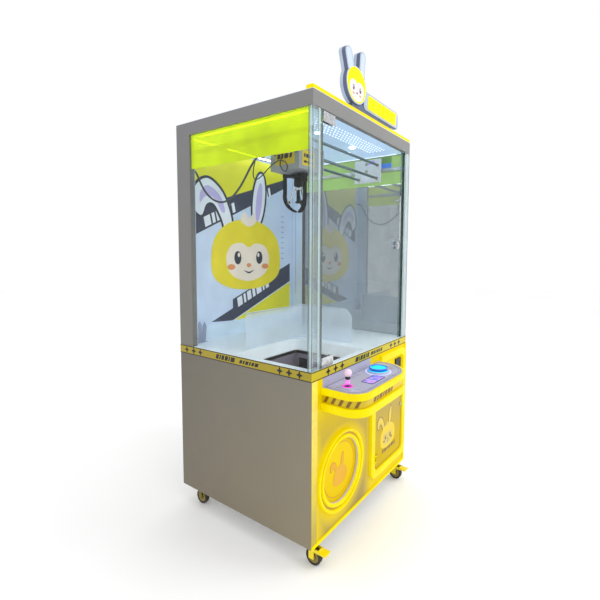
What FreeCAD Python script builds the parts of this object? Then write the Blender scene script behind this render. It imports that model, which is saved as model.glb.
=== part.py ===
import FreeCAD, Part
import math
import os
import re
from FreeCAD import Placement, Rotation, Vector

# Claw crane machine, in millimetres.  Every piece is drawn in cabinet coordinates: x from the left
# side, y from the front sheet towards the back, z from the underside of the body.  One placement
# then moves it to the part's frame: origin on the floor, in the middle of the object's footprint.

DIMENSIONS = {
    # cabinet
    "width": 890, "depth": 850, "body_height": 1840, "caster_height": 98, "console_reach": 195,
    "skin": 1.5, "tube": 30, "tube_wall": 2, "ring_height": 62,
    "waist_low": 706, "waist_high": 746, "band_proud": 2, "header_low": 1780, "header_depth": 40,
    "pillar_width": 28, "pillar_front": 750, "post_width": 63, "post_depth": 22, "post_wall": 3,
    "glass_inset": 6, "side_glass": 5, "backdrop_front": 832, "backdrop_thick": 3,
    # prize chute and play field
    "tray_thick": 4, "chute_left": 34, "chute_right": 430, "chute_back": 440, "chute_low": 60,
    "chute_top": 675, "chute_sheet": 2, "lip_run": 30, "lip_drop": 54, "lip_corner": 30,
    "slope_front": 76, "slope_back": 168, "fence_x": 538, "fence_y": 485, "fence_left": 108,
    "fence_front": 150, "fence_top": 928, "fence_thick": 3, "fence_round": 60,
    # glass door
    "door_left": 68, "door_right": 824, "door_low": 750, "door_top": 1776, "door_front": 4,
    "door_glass": 8, "pivot_x": 74, "pivot_y": 8, "pivot_pin": 4, "run_fit": 0.08,
    "patch_width": 81, "patch_height": 40, "patch_cheek": 4, "notch": 30,
    "lock_x": 756, "lock_z": 1267, "lock_case": 21, "lock_plug": 11, "handle_x": 720,
    "handle_low": 1289, "handle_top": 1522, "handle_rod": 4.5, "handle_out": 28,
    # prize door
    "prize_x": 220, "prize_z": 247, "prize_hole": 148, "bezel_outer": 182, "collar_outer": 147,
    "collar_inner": 141, "collar_back": 6, "flap_disc": 147, "flap_thick": 3, "flap_y": 9,
    "flap_hinge": 157, "flap_pin": 3, "flap_barrel": 6, "lug_half": 102,
    # cash door
    "frame_left": 480, "frame_right": 875, "frame_low": 62, "frame_high": 692, "frame_bar": 35,
    "frame_proud": 15, "frame_round": 50, "cash_left": 518, "cash_right": 837, "cash_low": 100,
    "cash_high": 541, "cash_front": 8, "cash_thick": 4, "hinge_x": 521, "hinge_y": -16,
    "hinge_pin": 2.5, "hinge_barrel": 4.8, "cash_lock_x": 815, "cash_lock_z": 367,
    "mech_x": 787, "mech_z": 602, "mech_width": 62, "mech_height": 70, "mech_proud": 9,
    "slot_width": 5, "slot_height": 32, "return_z": 580, "return_button": 7,
    # console
    "console_left": 60, "console_right": 572, "console_low": 572, "console_high": 668,
    "console_round": 85, "console_sweep": 150, "bumper": 12, "bumper_low": 605,
    "bumper_high": 640, "plate_low": 664, "plate_high": 669,
    "stick_x": 134, "stick_y": -84, "stick_pivot": 650, "ball_z": 729,
    "ball": 17.5, "button_x": 400, "button_y": -85, "button": 44, "button_top": 691,
    # gantry
    "rail_inset": 14, "rail_width": 20, "rail_low": 1690, "rail_high": 1710, "truck_gap": 40,
    "truck_thick": 9, "truck_front": 155, "truck_back": 330, "truck_low": 1630, "truck_high": 1766,
    "rod": 7, "rod_a_y": 180, "rod_a_z": 1655, "rod_b_y": 300, "rod_b_z": 1655,
    "rod_c_y": 175, "rod_c_z": 1729, "clip_y": 318, "car_left": 118, "car_right": 298, "car_front": 165,
    "car_back": 330, "car_low": 1584, "car_high": 1690, "car_wall": 2.5,
    # claw
    "claw_x": 212, "claw_y": 247, "spider_low": 1562, "spider_high": 1576, "arm_radius": 60,
    "arm_pivot": 1566, "arm_half": 5, "arm_pin": 3, "coil": 19, "coil_low": 1524, "guide": 8,
    "guide_low": 1448, "link_z": 1450, "link_r": 40, "collar_r": 16, "collar_z": 1512,
    "link_pin": 2.5, "open_pivot": 2.3, "cord": 2, "claw_turn": 129,
    # casters
    "caster_inset": 50, "caster_rear": 785, "caster_plate": 84, "trail": 30, "wheel": 37.5,
    "wheel_width": 24, "axle": 4, "stem": 8, "cheek": 3, "pedal_pin": 3,
}

doc = FreeCAD.newDocument("claw_crane")
sheet = doc.addObject("Spreadsheet::Sheet", "Dims")
for row, (alias, value) in enumerate(DIMENSIONS.items(), start=1):
    sheet.set(f"A{row}", alias)
    sheet.set(f"B{row}", str(value))
    sheet.setAlias(f"B{row}", alias)
doc.recompute()

NODES = []


def dim(alias):
    """A driving dimension, read from the sheet."""
    return float(sheet.get(alias))


def bind(text):
    """Turns an expression of aliases into one that reads the sheet."""
    return re.sub(r"[a-z]\w*", lambda word: f"Dims.{word.group()}" if word.group() in DIMENSIONS
                  else word.group(), text)


def place(part, x="0", y="0", z="0", rotation=None):
    """Moves a finished piece from cabinet coordinates to the part's frame."""
    if rotation:
        part.Placement = Placement(Vector(), rotation)
    part.setExpression("Placement.Base.x", bind(f"{x} - width / 2"))
    part.setExpression("Placement.Base.y", bind(f"{y} + (console_reach - depth) / 2"))
    part.setExpression("Placement.Base.z", bind(f"{z} + caster_height"))


def node(part, label, **at):
    """Names a piece that becomes a file of its own, and puts it in its place."""
    if part.TypeId in ("Part::Box", "Part::Cylinder"):
        part = group(part)
    part.Label = label
    place(part, **at)
    NODES.append(part)
    return part


def block(x0, x1, y0, y1, z0, z1):
    """A block between two corners, given as expressions in cabinet coordinates."""
    part = doc.addObject("Part::Box", "block")
    for size, axis, start, end in (("Length", "x", x0, x1), ("Width", "y", y0, y1),
                                   ("Height", "z", z0, z1)):
        part.setExpression(size, bind(f"({end}) - ({start})"))
        part.setExpression(f"Placement.Base.{axis}", bind(start))
    return part


def rod(radius, length, x, y, z, along="z"):
    """A cylinder that starts at a point and runs along +x, +y or +z."""
    part = doc.addObject("Part::Cylinder", "rod")
    turns = {"x": Rotation(Vector(0, 1, 0), 90), "y": Rotation(Vector(1, 0, 0), -90),
             "z": Rotation()}
    part.Placement = Placement(Vector(), turns[along])
    part.setExpression("Radius", bind(radius))
    part.setExpression("Height", bind(length))
    for axis, value in (("x", x), ("y", y), ("z", z)):
        part.setExpression(f"Placement.Base.{axis}", bind(value))
    return part


def cut(base, tool):
    part = doc.addObject("Part::Cut", "cut")
    part.Base = base
    part.Tool = tool
    return part


def fuse(*pieces):
    part = doc.addObject("Part::MultiFuse", "fuse")
    part.Shapes = list(pieces)
    return part


def group(*pieces):
    """Separate solids that share one node."""
    part = doc.addObject("Part::Compound", "group")
    part.Links = list(pieces)
    return part


def hollow(wall, axis, *corners):
    """A rectangular tube, open at both ends along one axis."""
    inner = list(corners)
    for place_in_list, letter in ((0, "x"), (2, "y"), (4, "z")):
        inset = "-1" if letter == axis else wall
        inner[place_in_list] = f"{corners[place_in_list]} + ({inset})"
        inner[place_in_list + 1] = f"{corners[place_in_list + 1]} - ({inset})"
    return cut(block(*corners), block(*inner))


def rounded(corners):
    """Lines and arcs of a closed outline, from its corners (u, v, radius)."""
    count = len(corners)
    stretches = []
    for index, (u, v, radius) in enumerate(corners):
        here = Vector(u, v, 0)
        before = Vector(*corners[index - 1][:2], 0) - here
        after = Vector(*corners[(index + 1) % count][:2], 0) - here
        if radius == 0:
            stretches.append((here, None, here))
            continue
        half = before.getAngle(after) / 2
        reach = radius / math.tan(half)
        start = here + before.normalize() * reach
        end = here + after.normalize() * reach
        middle = here + (before + after).normalize() * (radius / math.sin(half) - radius)
        stretches.append((start, middle, end))
    curves = []
    for index, (start, middle, end) in enumerate(stretches):
        if middle is not None:
            curves.append(Part.Arc(start, middle, end))
        following = stretches[(index + 1) % count][0]
        if end.distanceToPoint(following) > 1e-6:
            curves.append(Part.LineSegment(end, following))
    return curves


def rectangle(u0, u1, v0, v1, radius=0):
    return rounded([(u0, v0, radius), (u1, v0, radius), (u1, v1, radius), (u0, v1, radius)])


def circle(u, v, radius):
    return [Part.Circle(Vector(u, v, 0), Vector(0, 0, 1), radius)]


def origin_plane(body, role):
    return next(item for item in body.Origin.OriginFeatures if item.Role == role)


def sketch(body, role, level, curves):
    """A sketch on one of the body's own planes, at a level along that plane's axis."""
    drawing = body.newObject("Sketcher::SketchObject", "sketch")
    drawing.AttachmentSupport = (origin_plane(body, role), [""])
    drawing.MapMode = "FlatFace"
    sign = "-" if role == "XZ_Plane" else ""
    drawing.setExpression("AttachmentOffset.Base.z", bind(f"{sign}({level})"))
    drawing.addGeometry(curves, False)
    return drawing


def plate(role, level, thickness, outline, *holes):
    """A flat piece: an outline with holes, padded towards +x, +y or +z from a level."""
    body = doc.addObject("PartDesign::Body", "plate")
    curves = list(outline)
    for hole in holes:
        curves += hole
    drawing = sketch(body, role, level, curves)
    pad = body.newObject("PartDesign::Pad", "pad")
    pad.Profile = drawing
    pad.setExpression("Length", bind(thickness))
    pad.Reversed = role == "XZ_Plane"
    drawing.Visibility = False
    body.Tip = pad
    return body


def turned(profile, angle=360):
    """A body of revolution about its own z axis, from a closed profile in (r, z)."""
    body = doc.addObject("PartDesign::Body", "turned")
    drawing = sketch(body, "XZ_Plane", "0", profile)
    revolution = body.newObject("PartDesign::Revolution", "revolution")
    revolution.Profile = drawing
    revolution.ReferenceAxis = (drawing, ["V_Axis"])
    revolution.Angle = angle
    body.Tip = revolution
    return body


def solid(shape):
    """A piece drawn with Part's own functions."""
    part = doc.addObject("Part::Feature", "solid")
    part.Shape = shape
    return part


def prism(role, level, thickness, outline):
    """A plain extruded outline, for pieces drawn with Part's own functions."""
    face = Part.Face(Part.Wire(Part.__sortEdges__([curve.toShape() for curve in outline])))
    if role == "XZ_Plane":
        face.rotate(Vector(), Vector(1, 0, 0), 90)
        return face.translated(Vector(0, level, 0)).extrude(Vector(0, thickness, 0))
    if role == "YZ_Plane":
        face.rotate(Vector(), Vector(1, 0, 0), 90)
        face.rotate(Vector(), Vector(0, 0, 1), 90)
        return face.translated(Vector(level, 0, 0)).extrude(Vector(thickness, 0, 0))
    return face.translated(Vector(0, 0, level)).extrude(Vector(0, 0, thickness))


# ---------------------------------------------------------------- lower cabinet

def make_base_frame():
    """Welded square tubes round the lower cabinet, on the sheet that the casters bolt to."""
    inner = "skin + tube"
    x_far, y_far = "width - skin", "depth - skin"
    pieces = [block("skin", x_far, "skin", y_far, "0", "skin")]
    rings = (("skin", inner), ("waist_high - tray_thick - ring_height", "waist_high - tray_thick"))
    for low, high in rings:
        for start, end in (("skin", inner), (f"{y_far} - tube", y_far)):
            pieces.append(hollow("tube_wall", "x", "skin", x_far, start, end, low, high))
        for start, end in (("skin", inner), (f"{x_far} - tube", x_far)):
            pieces.append(hollow("tube_wall", "y", start, end, inner, f"{y_far} - tube", low, high))
    for x0, x1 in (("skin", inner), (f"{x_far} - tube", x_far)):
        for y0, y1 in (("skin", inner), (f"{y_far} - tube", y_far)):
            pieces.append(hollow("tube_wall", "z", x0, x1, y0, y1, inner, rings[1][0]))
    node(group(*pieces), "base_frame")


def make_side_panels():
    left = block("0", "skin", "0", "depth", "0", "waist_high")
    right = block("width - skin", "width", "0", "depth", "0", "waist_high")
    node(group(left, right), "side_panels")


def make_lower_back_panel():
    """The service panel, with louvre slots and the hole for the power inlet."""
    slots = []
    for column in (260, 520):
        for step in range(7):
            low = 300 + 26 * step
            slots.append(rectangle(column, column + 130, low, low + 8, 3.5))
    skin, width = dim("skin"), dim("width")
    outline = rectangle(skin, width - skin, 0, dim("waist_high"))
    inlet = rectangle(90, 150, 80, 130)
    node(plate("XZ_Plane", "depth - skin", "skin", outline, inlet, *slots), "lower_back_panel")


def make_power_inlet():
    """Mains inlet with a socket that opens to the rear, flush with the back."""
    housing = block("90.3", "149.7", "depth - 32", "depth", "80.3", "129.7")
    socket = block("98", "122", "depth - 18", "depth + 1", "96", "113")
    node(cut(housing, socket), "power_inlet")


def make_front_panel():
    """The front sheet, cut out for the prize door, the cash door and the coin mechanism."""
    skin, width = dim("skin"), dim("width")
    outline = rectangle(skin, width - skin, 0, dim("waist_high"))
    prize = circle(dim("prize_x"), dim("prize_z"), dim("prize_hole"))
    cash = rectangle(530, 832, 110, 530, 10)
    mech = rectangle(dim("mech_x") - 24, dim("mech_x") + 24, dim("mech_z") - 30, dim("mech_z") + 30)
    node(plate("XZ_Plane", "0", "skin", outline, prize, cash, mech), "front_panel")


def make_waist_band():
    band = (("-band_proud", "0", "-band_proud", "depth"), ("0", "width", "-band_proud", "0"),
            ("width", "width + band_proud", "-band_proud", "depth"))
    node(group(*[block(*sides, "waist_low", "waist_high") for sides in band]), "waist_band")


def make_prize_chute():
    """Sheet walls under the play field, and a floor that slopes down to the prize door."""
    front, back = "skin + 2.5", "chute_back"
    left = block("chute_left", "chute_left + chute_sheet", front, back, "chute_low", "chute_top")
    right = block("chute_right - chute_sheet", "chute_right", front, back, "chute_low", "chute_top")
    rear = block("chute_left + chute_sheet", "chute_right - chute_sheet",
                 "chute_back - chute_sheet", back, "slope_back + 3", "chute_top")
    y0, y1 = dim("skin") + 2.5, dim("chute_back")
    low, high, sheet_z = dim("slope_front"), dim("slope_back"), dim("chute_sheet")
    profile = rounded([(y0, low, 0), (y1, high, 0), (y1, high + sheet_z, 0), (y0, low + sheet_z, 0)])
    slope = plate("YZ_Plane", "chute_left + chute_sheet",
                  "chute_right - chute_left - 2 * chute_sheet", profile)
    node(group(left, right, rear, slope), "prize_chute")


def make_prize_door():
    """The round bezel with two raised lighting rings, its collar, and the flap on its pin."""
    outer, hole, inner = dim("bezel_outer"), dim("collar_outer"), dim("collar_inner")
    profile = rounded([(inner, 6, 0), (inner + 5, 12, 4), (inner + 15, 12, 4), (inner + 17, 3, 0),
                       (outer - 14, 3, 0), (outer - 12, 14, 5), (outer, 14, 5), (outer, 0, 0),
                       (hole, 0, 0), (hole, -dim("collar_back"), 0),
                       (inner, -dim("collar_back"), 0)])
    bezel = turned(profile)
    bezel.Placement = Placement(Vector(dim("prize_x"), 0, dim("prize_z")),
                                Rotation(Vector(1, 0, 0), 90))
    hinge_z = "prize_z + flap_hinge"
    lugs = [block(f"prize_x + {start}", f"prize_x + {end}", "skin", "flap_y + 7", f"{hinge_z} - 7",
                  f"{hinge_z} + 7") for start, end in (("-lug_half", "4 - lug_half"),
                                                      ("lug_half - 4", "lug_half"))]
    pin = rod("flap_pin", "2 * lug_half", "prize_x - lug_half", "flap_y", hinge_z, "x")
    node(group(bezel, fuse(pin, *lugs)), "prize_bezel")

    disc = rod("flap_disc", "flap_thick", "prize_x", "flap_y", "prize_z", "y")
    tab = block("prize_x - 70", "prize_x + 70", "flap_y", "flap_y + flap_thick",
                "prize_z + flap_disc - 30", f"{hinge_z} - 4")
    barrels = [rod("flap_barrel", "60", f"prize_x + {start}", "flap_y", hinge_z, "x")
               for start in (-90, 30)]
    bore = rod("flap_pin + run_fit", "200", "prize_x - 100", "flap_y", hinge_z, "x")
    node(cut(fuse(disc, tab, *barrels), bore), "prize_flap")


def make_cash_door():
    """The lit frame round the coin side, its hinge pins, the cash door and its lock."""
    left, right, low, high = (dim(side) for side in ("frame_left", "frame_right", "frame_low",
                                                      "frame_high"))
    bar, corner = dim("frame_bar"), dim("frame_round")
    ring = plate("XZ_Plane", "-frame_proud", "frame_proud",
                 rectangle(left, right, low, high, corner),
                 rectangle(left + bar, right - bar, low + bar, high - bar, corner - bar / 2))
    notch = block("frame_left - 1", "console_right + 4", "-frame_proud - 1", "1",
                  "console_low - 2", "frame_high + 1")
    pieces = [cut(ring, notch)]
    for start in (150, 455):
        pins = [rod("hinge_pin", "34", "hinge_x", "hinge_y", f"{start}")]
        for foot in (start, start + 31):
            pins.append(block("frame_left + frame_bar - 10", "hinge_x + 3", "hinge_y - 4",
                              "-frame_proud", f"{foot}", f"{foot + 3}"))
        pieces.append(fuse(*pins))
    node(group(*pieces), "cash_frame")

    outline = rectangle(dim("cash_left"), dim("cash_right"), dim("cash_low"), dim("cash_high"), 28)
    hole = circle(dim("cash_lock_x"), dim("cash_lock_z"), dim("lock_plug") + dim("run_fit"))
    door = plate("XZ_Plane", "-cash_front", "cash_thick", outline, hole)
    straps = []
    for start in (150, 455):
        straps.append(rod("hinge_barrel", "27", "hinge_x", "hinge_y", f"{start + 3.5}"))
        straps.append(block("hinge_x", "hinge_x + 26", "-cash_front - 6", "-cash_front",
                            f"{start + 3.5}", f"{start + 30.5}"))
    bore = rod("hinge_pin + run_fit", "500", "hinge_x", "hinge_y", "120")
    node(cut(fuse(door, *straps), bore), "cash_door")

    plug = rod("lock_plug", "18", "cash_lock_x", "-cash_front - 5", "cash_lock_z", "y")
    cam = block("cash_lock_x - 6", "cash_lock_x + 6", "5", "8", "cash_lock_z - 6",
                "cash_lock_z + 28")
    node(fuse(plug, cam), "cash_lock")


def blocks_round(slot, x0, x1, y0, y1, z0, z1):
    """Four blocks that leave a slot, given as its x and z limits, free between them."""
    left, right, low, high = slot
    return [block(x0, left, y0, y1, z0, z1), block(right, x1, y0, y1, z0, z1),
            block(left, right, y0, y1, z0, low), block(left, right, y0, y1, high, z1)]


def make_coin_acceptor():
    """Faceplate and body of the coin mechanism, with its slot and its return button."""
    slot = ("mech_x + 6", "mech_x + 6 + slot_width", "mech_z - 10", "mech_z - 10 + slot_height")
    pieces = [block("mech_x - 23", "mech_x + 23", "45", "60", "mech_z - 29", "mech_z + 29")]
    for sides in (("mech_x - mech_width / 2", "mech_x + mech_width / 2", "-mech_proud", "0",
                   "mech_z - mech_height / 2", "mech_z + mech_height / 2"),
                  ("mech_x - 23", "mech_x + 23", "0", "45", "mech_z - 29", "mech_z + 29")):
        beside, *others = blocks_round(slot, *sides)
        well = rod("return_button + 0.4", "14", "mech_x - 14", "-mech_proud - 1", "return_z", "y")
        pieces += [cut(beside, well), *others]
    node(group(*pieces), "coin_acceptor")
    node(rod("return_button", "10", "mech_x - 14", "-mech_proud - 4", "return_z", "y"),
         "coin_return_button")


def make_internals():
    """Coin box under the mechanism, and the power supply on the floor at the back."""
    walls = (("620", "623", "70", "330", "42", "200"), ("837", "840", "70", "330", "42", "200"),
             ("623", "837", "70", "73", "42", "200"), ("623", "837", "327", "330", "42", "200"),
             ("620", "840", "70", "330", "38", "42"))
    node(group(*[block(*wall) for wall in walls]), "coin_box")
    node(block("560", "775", "640", "755", "skin", "52"), "power_supply")


# ---------------------------------------------------------------- console

def console_outline(inset, back=0.0):
    """The console from above: rounded at its two front corners, more so at the right one."""
    left, right = dim("console_left") + inset, dim("console_right") - inset
    front = inset - dim("console_reach")
    return rounded([(left, back, 0), (left, front, dim("console_round") - inset),
                    (right, front, dim("console_sweep") - inset), (right, back, 0)])


def make_console():
    bumper = dim("bumper")
    outer = plate("XY_Plane", "console_low", "plate_low - console_low", console_outline(bumper))
    cavity = plate("XY_Plane", "console_low + 2.5", "plate_low - console_low",
                   console_outline(bumper + 2.5, -2.5))
    node(cut(outer, cavity), "console_shell")

    stick = circle(dim("stick_x"), dim("stick_y"), 30)
    button = circle(dim("button_x"), dim("button_y"), dim("button") + 1.5)
    top = plate("XY_Plane", "plate_low", "plate_high - plate_low", console_outline(bumper),
                stick, button)
    radius = dim("button")
    rim = turned(rounded([(radius + 1.5, 0, 0), (radius + 8, 0, 0), (radius + 8, 6, 3),
                          (radius + 1.5, 9, 2)]))
    rim.Placement = Placement(Vector(dim("button_x"), dim("button_y"), dim("plate_high")),
                              Rotation())
    node(group(top, rim), "console_plate")

    rise = dim("button_top") - dim("plate_low") + 12
    button = turned(rounded([(0, 0, 0), (radius, 0, 0), (radius, rise, 9), (0, rise, 0)]))
    node(button, "start_button", x="button_x", y="button_y", z="plate_low - 12")


def make_joystick():
    """A two-axis stick: a gimbal ring on trunnions, and a lever on a cross pin inside it."""
    centre = ("stick_x", "stick_y")
    flange = cut(block("stick_x - 32", "stick_x + 32", "stick_y - 32", "stick_y + 32",
                       "plate_high", "plate_high + 3"),
                 rod("17", "10", *centre, "plate_high - 3"))
    ears = [block(f"stick_x + {start}", f"stick_x + {end}", "stick_y - 6", "stick_y + 6",
                  "stick_pivot - 7", "plate_high") for start, end in (("-21.5", "-15.5"),
                                                                     ("15.5", "21.5"))]
    bore = rod("link_pin + run_fit", "60", "stick_x - 30", "stick_y", "stick_pivot", "x")
    node(cut(fuse(flange, *ears), bore), "joystick_base")

    ring = cut(rod("12", "10", *centre, "stick_pivot - 5"),
               rod("8.5", "12", *centre, "stick_pivot - 6"))
    trunnions = cut(rod("link_pin", "43", "stick_x - 21.5", "stick_y", "stick_pivot", "x"),
                    rod("10", "12", *centre, "stick_pivot - 6"))
    cross = rod("link_pin + run_fit", "30", "stick_x", "stick_y - 15", "stick_pivot", "y")
    node(cut(fuse(ring, trunnions), cross), "joystick_gimbal")

    shaft = rod("4.5", "ball_z - stick_pivot + 8", *centre, "stick_pivot - 8")
    hub = rod("6", "12", *centre, "stick_pivot - 6")
    pin = rod("link_pin", "23", "stick_x", "stick_y - 11.5", "stick_pivot", "y")
    ball = doc.addObject("Part::Sphere", "ball")
    ball.setExpression("Radius", bind("ball"))
    for axis, value in zip("xyz", ("stick_x", "stick_y", "ball_z")):
        ball.setExpression(f"Placement.Base.{axis}", bind(value))
    node(fuse(shaft, hub, pin, ball), "joystick_lever")


# ---------------------------------------------------------------- upper cabinet

def make_upper_frame():
    """Rear pillars, the rails round the header, and the two pivot pins of the glass door."""
    pieces = []
    for x0, x1 in (("0", "pillar_width"), ("width - pillar_width", "width")):
        pieces.append(hollow("skin", "z", x0, x1, "pillar_front", "depth", "waist_high",
                             "header_low"))
    rails = (("0", "width", "0", "header_depth"),
             ("0", "width", "depth - header_depth", "depth"),
             ("0", "header_depth", "header_depth", "depth - header_depth"),
             ("width - header_depth", "width", "header_depth", "depth - header_depth"))
    rooms = (("skin", "width - skin", "skin", "header_depth + 1"),
             ("skin", "width - skin", "depth - header_depth - 1", "depth - skin"),
             ("skin", "header_depth + 1", "header_depth - 1", "depth - header_depth + 1"),
             ("width - header_depth - 1", "width - skin", "header_depth - 1",
              "depth - header_depth + 1"))
    for rail, room in zip(rails, rooms):
        pieces.append(cut(block(*rail, "header_low", "body_height - skin"),
                          block(*room, "header_low + skin", "body_height - 2 * skin")))
    for low in ("waist_high", "header_low - 20"):
        pieces.append(rod("pivot_pin", "20", "pivot_x", "pivot_y", low))
    node(group(*pieces), "upper_frame")


def make_upper_panels():
    """Back sheet, printed backdrop, roof and ceiling."""
    node(block("pillar_width", "width - pillar_width", "depth - skin", "depth", "waist_high",
               "header_low"), "upper_back_panel")
    node(block("pillar_width", "width - pillar_width", "backdrop_front",
               "backdrop_front + backdrop_thick", "waist_high", "header_low"), "backdrop")
    roof = block("0", "width", "0", "depth", "body_height - skin", "body_height")
    ceiling = block("header_depth", "width - header_depth", "header_depth",
                    "depth - header_depth", "header_low", "header_low + 3")
    node(group(roof, ceiling), "roof_panels")


def make_corner_posts():
    """Clear square-section posts at the two front corners."""
    posts = [hollow("post_wall", "z", x0, x1, "0", "post_depth", "waist_high", "header_low")
             for x0, x1 in (("0", "post_width"), ("width - post_width", "width"))]
    node(group(*posts), "corner_posts")


def make_side_glasses():
    left = block("glass_inset", "glass_inset + side_glass", "post_depth", "pillar_front",
                 "waist_high", "header_low")
    right = block("width - glass_inset - side_glass", "width - glass_inset", "post_depth",
                  "pillar_front", "waist_high", "header_low")
    node(group(left, right), "side_glasses")


def make_tray():
    """The play field: a plate round the chute opening, with a lip that slopes into it."""
    skin, top, thick = dim("skin"), dim("waist_high"), dim("tray_thick")
    left, right, back = dim("chute_left"), dim("chute_right"), dim("chute_back")
    run, drop, corner = dim("lip_run"), dim("lip_drop"), dim("lip_corner")
    far = right + run
    deep = back + run
    hole = rounded([(left, left, 0), (far, left, 0), (far, deep, corner + run), (left, deep, 0)])
    outline = rectangle(skin, dim("width") - skin, skin, dim("depth") - skin)
    field = prism("XY_Plane", top - thick, thick, outline)
    field = field.cut(prism("XY_Plane", top - thick - 1, thick + 2, hole))

    def sheet_profile(edge):
        return rounded([(edge, top - drop, 0), (edge + run, top - thick, 0), (edge + run, top, 0),
                        (edge, top - drop + thick, 0)])

    straight_y = prism("XZ_Plane", left, back - corner - left, sheet_profile(right))
    straight_x = prism("YZ_Plane", left, right - corner - left, sheet_profile(back))
    bend = Part.Face(Part.Wire([curve.toShape() for curve in sheet_profile(corner)]))
    bend.rotate(Vector(), Vector(1, 0, 0), 90)
    bend = bend.revolve(Vector(), Vector(0, 0, 1), 90)
    bend.translate(Vector(right - corner, back - corner, 0))
    lip = straight_x.fuse([straight_y, bend])
    node(solid(field.fuse(lip).removeSplitter()), "tray")


def make_fence():
    """Clear sheets that part the play field from the chute."""
    front, back, low, top = (dim(name) for name in ("fence_front", "fence_y", "waist_high",
                                                    "fence_top"))
    side = plate("YZ_Plane", "fence_x", "fence_thick",
                 rounded([(front, low, 0), (back, low, 0), (back, top, 0),
                          (front, top, dim("fence_round"))]))
    rear = block("fence_left", "fence_x + fence_thick", "fence_y", "fence_y + fence_thick",
                 "waist_high", "fence_top")
    node(group(side, rear), "fence_panels")


def make_glass_door():
    """Frameless glass, gripped by a patch fitting at each pivot, with its lock and its bar."""
    x0, x1, notch = dim("door_left"), dim("door_right"), dim("notch")
    low, high = dim("door_low"), dim("door_top")
    outline = rounded([(x0 + notch, low, 0), (x1, low, 3), (x1, high, 3), (x0 + notch, high, 0),
                       (x0 + notch, high - 24, 6), (x0, high - 24, 3), (x0, low + 24, 3),
                       (x0 + notch, low + 24, 6)])
    lock_hole = circle(dim("lock_x"), dim("lock_z"), dim("lock_plug") + 2)
    glass = plate("XZ_Plane", "door_front", "door_glass", outline, lock_hole)
    node(glass, "glass_door")

    pieces = []
    for low_z, high_z in (("door_low", "door_low + patch_height"),
                          ("door_top - patch_height", "door_top")):
        patch = block("door_left", "door_left + patch_width", "door_front - patch_cheek",
                      "door_front + door_glass + patch_cheek", low_z, high_z)
        room = plate("XZ_Plane", "door_front", "door_glass", outline)
        bore = rod("pivot_pin + run_fit", "60", "pivot_x", "pivot_y", f"{low_z} - 10")
        pieces.append(cut(cut(patch, room), bore))
    case = [rod("lock_case", "7", "lock_x", "door_front - 7", "lock_z", "y"),
            rod("lock_case", "9", "lock_x", "door_front + door_glass", "lock_z", "y"),
            rod("lock_plug + 1.9", "door_glass", "lock_x", "door_front", "lock_z", "y")]
    bore = rod("lock_plug + run_fit", "60", "lock_x", "-20", "lock_z", "y")
    pieces.append(cut(fuse(*case), bore))
    grip = [rod("handle_rod", "handle_top - handle_low", "handle_x", "-handle_out", "handle_low")]
    for level in ("handle_low + 20", "handle_top - 20"):
        grip.append(rod("4", "handle_out + door_front", "handle_x", "-handle_out", level, "y"))
    pieces.append(fuse(*grip))
    node(group(*pieces), "door_fittings")

    plug = rod("lock_plug", "30", "lock_x", "door_front - 11", "lock_z", "y")
    cam = block("lock_x - 6", "lock_x + 6", "door_front + door_glass + 10",
                "door_front + door_glass + 13", "lock_z - 6", "lock_z + 30")
    node(fuse(plug, cam), "door_lock")


def make_lights():
    """Yellow lit strips: roof edge, front edges, and the two bumpers round the console."""
    pieces = [block("0", "width", "0", "12", "body_height", "body_height + 16"),
              block("0", "12", "12", "36", "body_height", "body_height + 16"),
              block("0", "36", "-3", "0", "14", "waist_low"),
              block("0", "width", "-8", "0", "0", "14"),
              block("width - 13", "width", "-8", "0", "14", "waist_low")]
    bumper = dim("bumper")
    for low, high in (("console_low", "bumper_low"), ("bumper_high", "console_high")):
        ring = plate("XY_Plane", low, f"{high} - {low}", console_outline(0))
        core = plate("XY_Plane", f"{low} - 1", f"{high} - {low} + 2", console_outline(bumper, 1))
        pieces.append(cut(ring, core))
    node(group(*pieces), "neon_strips")


def make_topper():
    """A plain animal-head sign with two ears and a name board, on a foot along the roof."""
    front, thick, inset = 10, 36, 4
    head = Part.makeCylinder(84, thick, Vector(329, front, 1958), Vector(0, 1, 0))
    jaw = prism("XZ_Plane", front, thick, rectangle(252, 406, 1884, 1950, 32))
    board = prism("XZ_Plane", front + inset, thick - 2 * inset, rectangle(400, 764, 1880, 1966, 22))
    foot = prism("XZ_Plane", front + inset, thick - 2 * inset,
                 rounded([(290, 1840, 0), (700, 1840, 0), (676, 1900, 8), (314, 1900, 8)]))
    shape = head.fuse([jaw, board, foot])
    for x, z, half, length, lean in ((283, 2020, 27, 86, -20), (373, 2025, 23, 98, 5)):
        ear = prism("XZ_Plane", front, thick, rectangle(-half, half, -40, length, half - 1))
        ear.rotate(Vector(), Vector(0, 1, 0), lean)
        shape = shape.fuse(ear.translated(Vector(x, 0, z)))
    node(solid(shape.removeSplitter()), "topper_sign")


# ---------------------------------------------------------------- gantry

def make_rails():
    pieces = []
    for x0, x1 in (("rail_inset", "rail_inset + rail_width"),
                   ("width - rail_inset - rail_width", "width - rail_inset")):
        pieces.append(block(x0, x1, "post_depth", "pillar_front", "rail_low", "rail_high"))
    node(group(*pieces), "side_rails")


def truck(x0, x1, shoe0, shoe1, web0, web1):
    """An end plate with two shoes that reach over and under the side rail."""
    pieces = [block(x0, x1, "truck_front", "truck_back", "truck_low", "truck_high")]
    for start in ("truck_front + 8", "truck_back - 38"):
        for low, high in (("rail_high + 0.4", "rail_high + 9"), ("rail_low - 9", "rail_low - 0.4")):
            pieces.append(block(shoe0, shoe1, start, f"{start} + 30", low, high))
        pieces.append(block(web0, web1, start, f"{start} + 30", "rail_low - 9", "rail_high + 9"))
    return fuse(*pieces)


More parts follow.
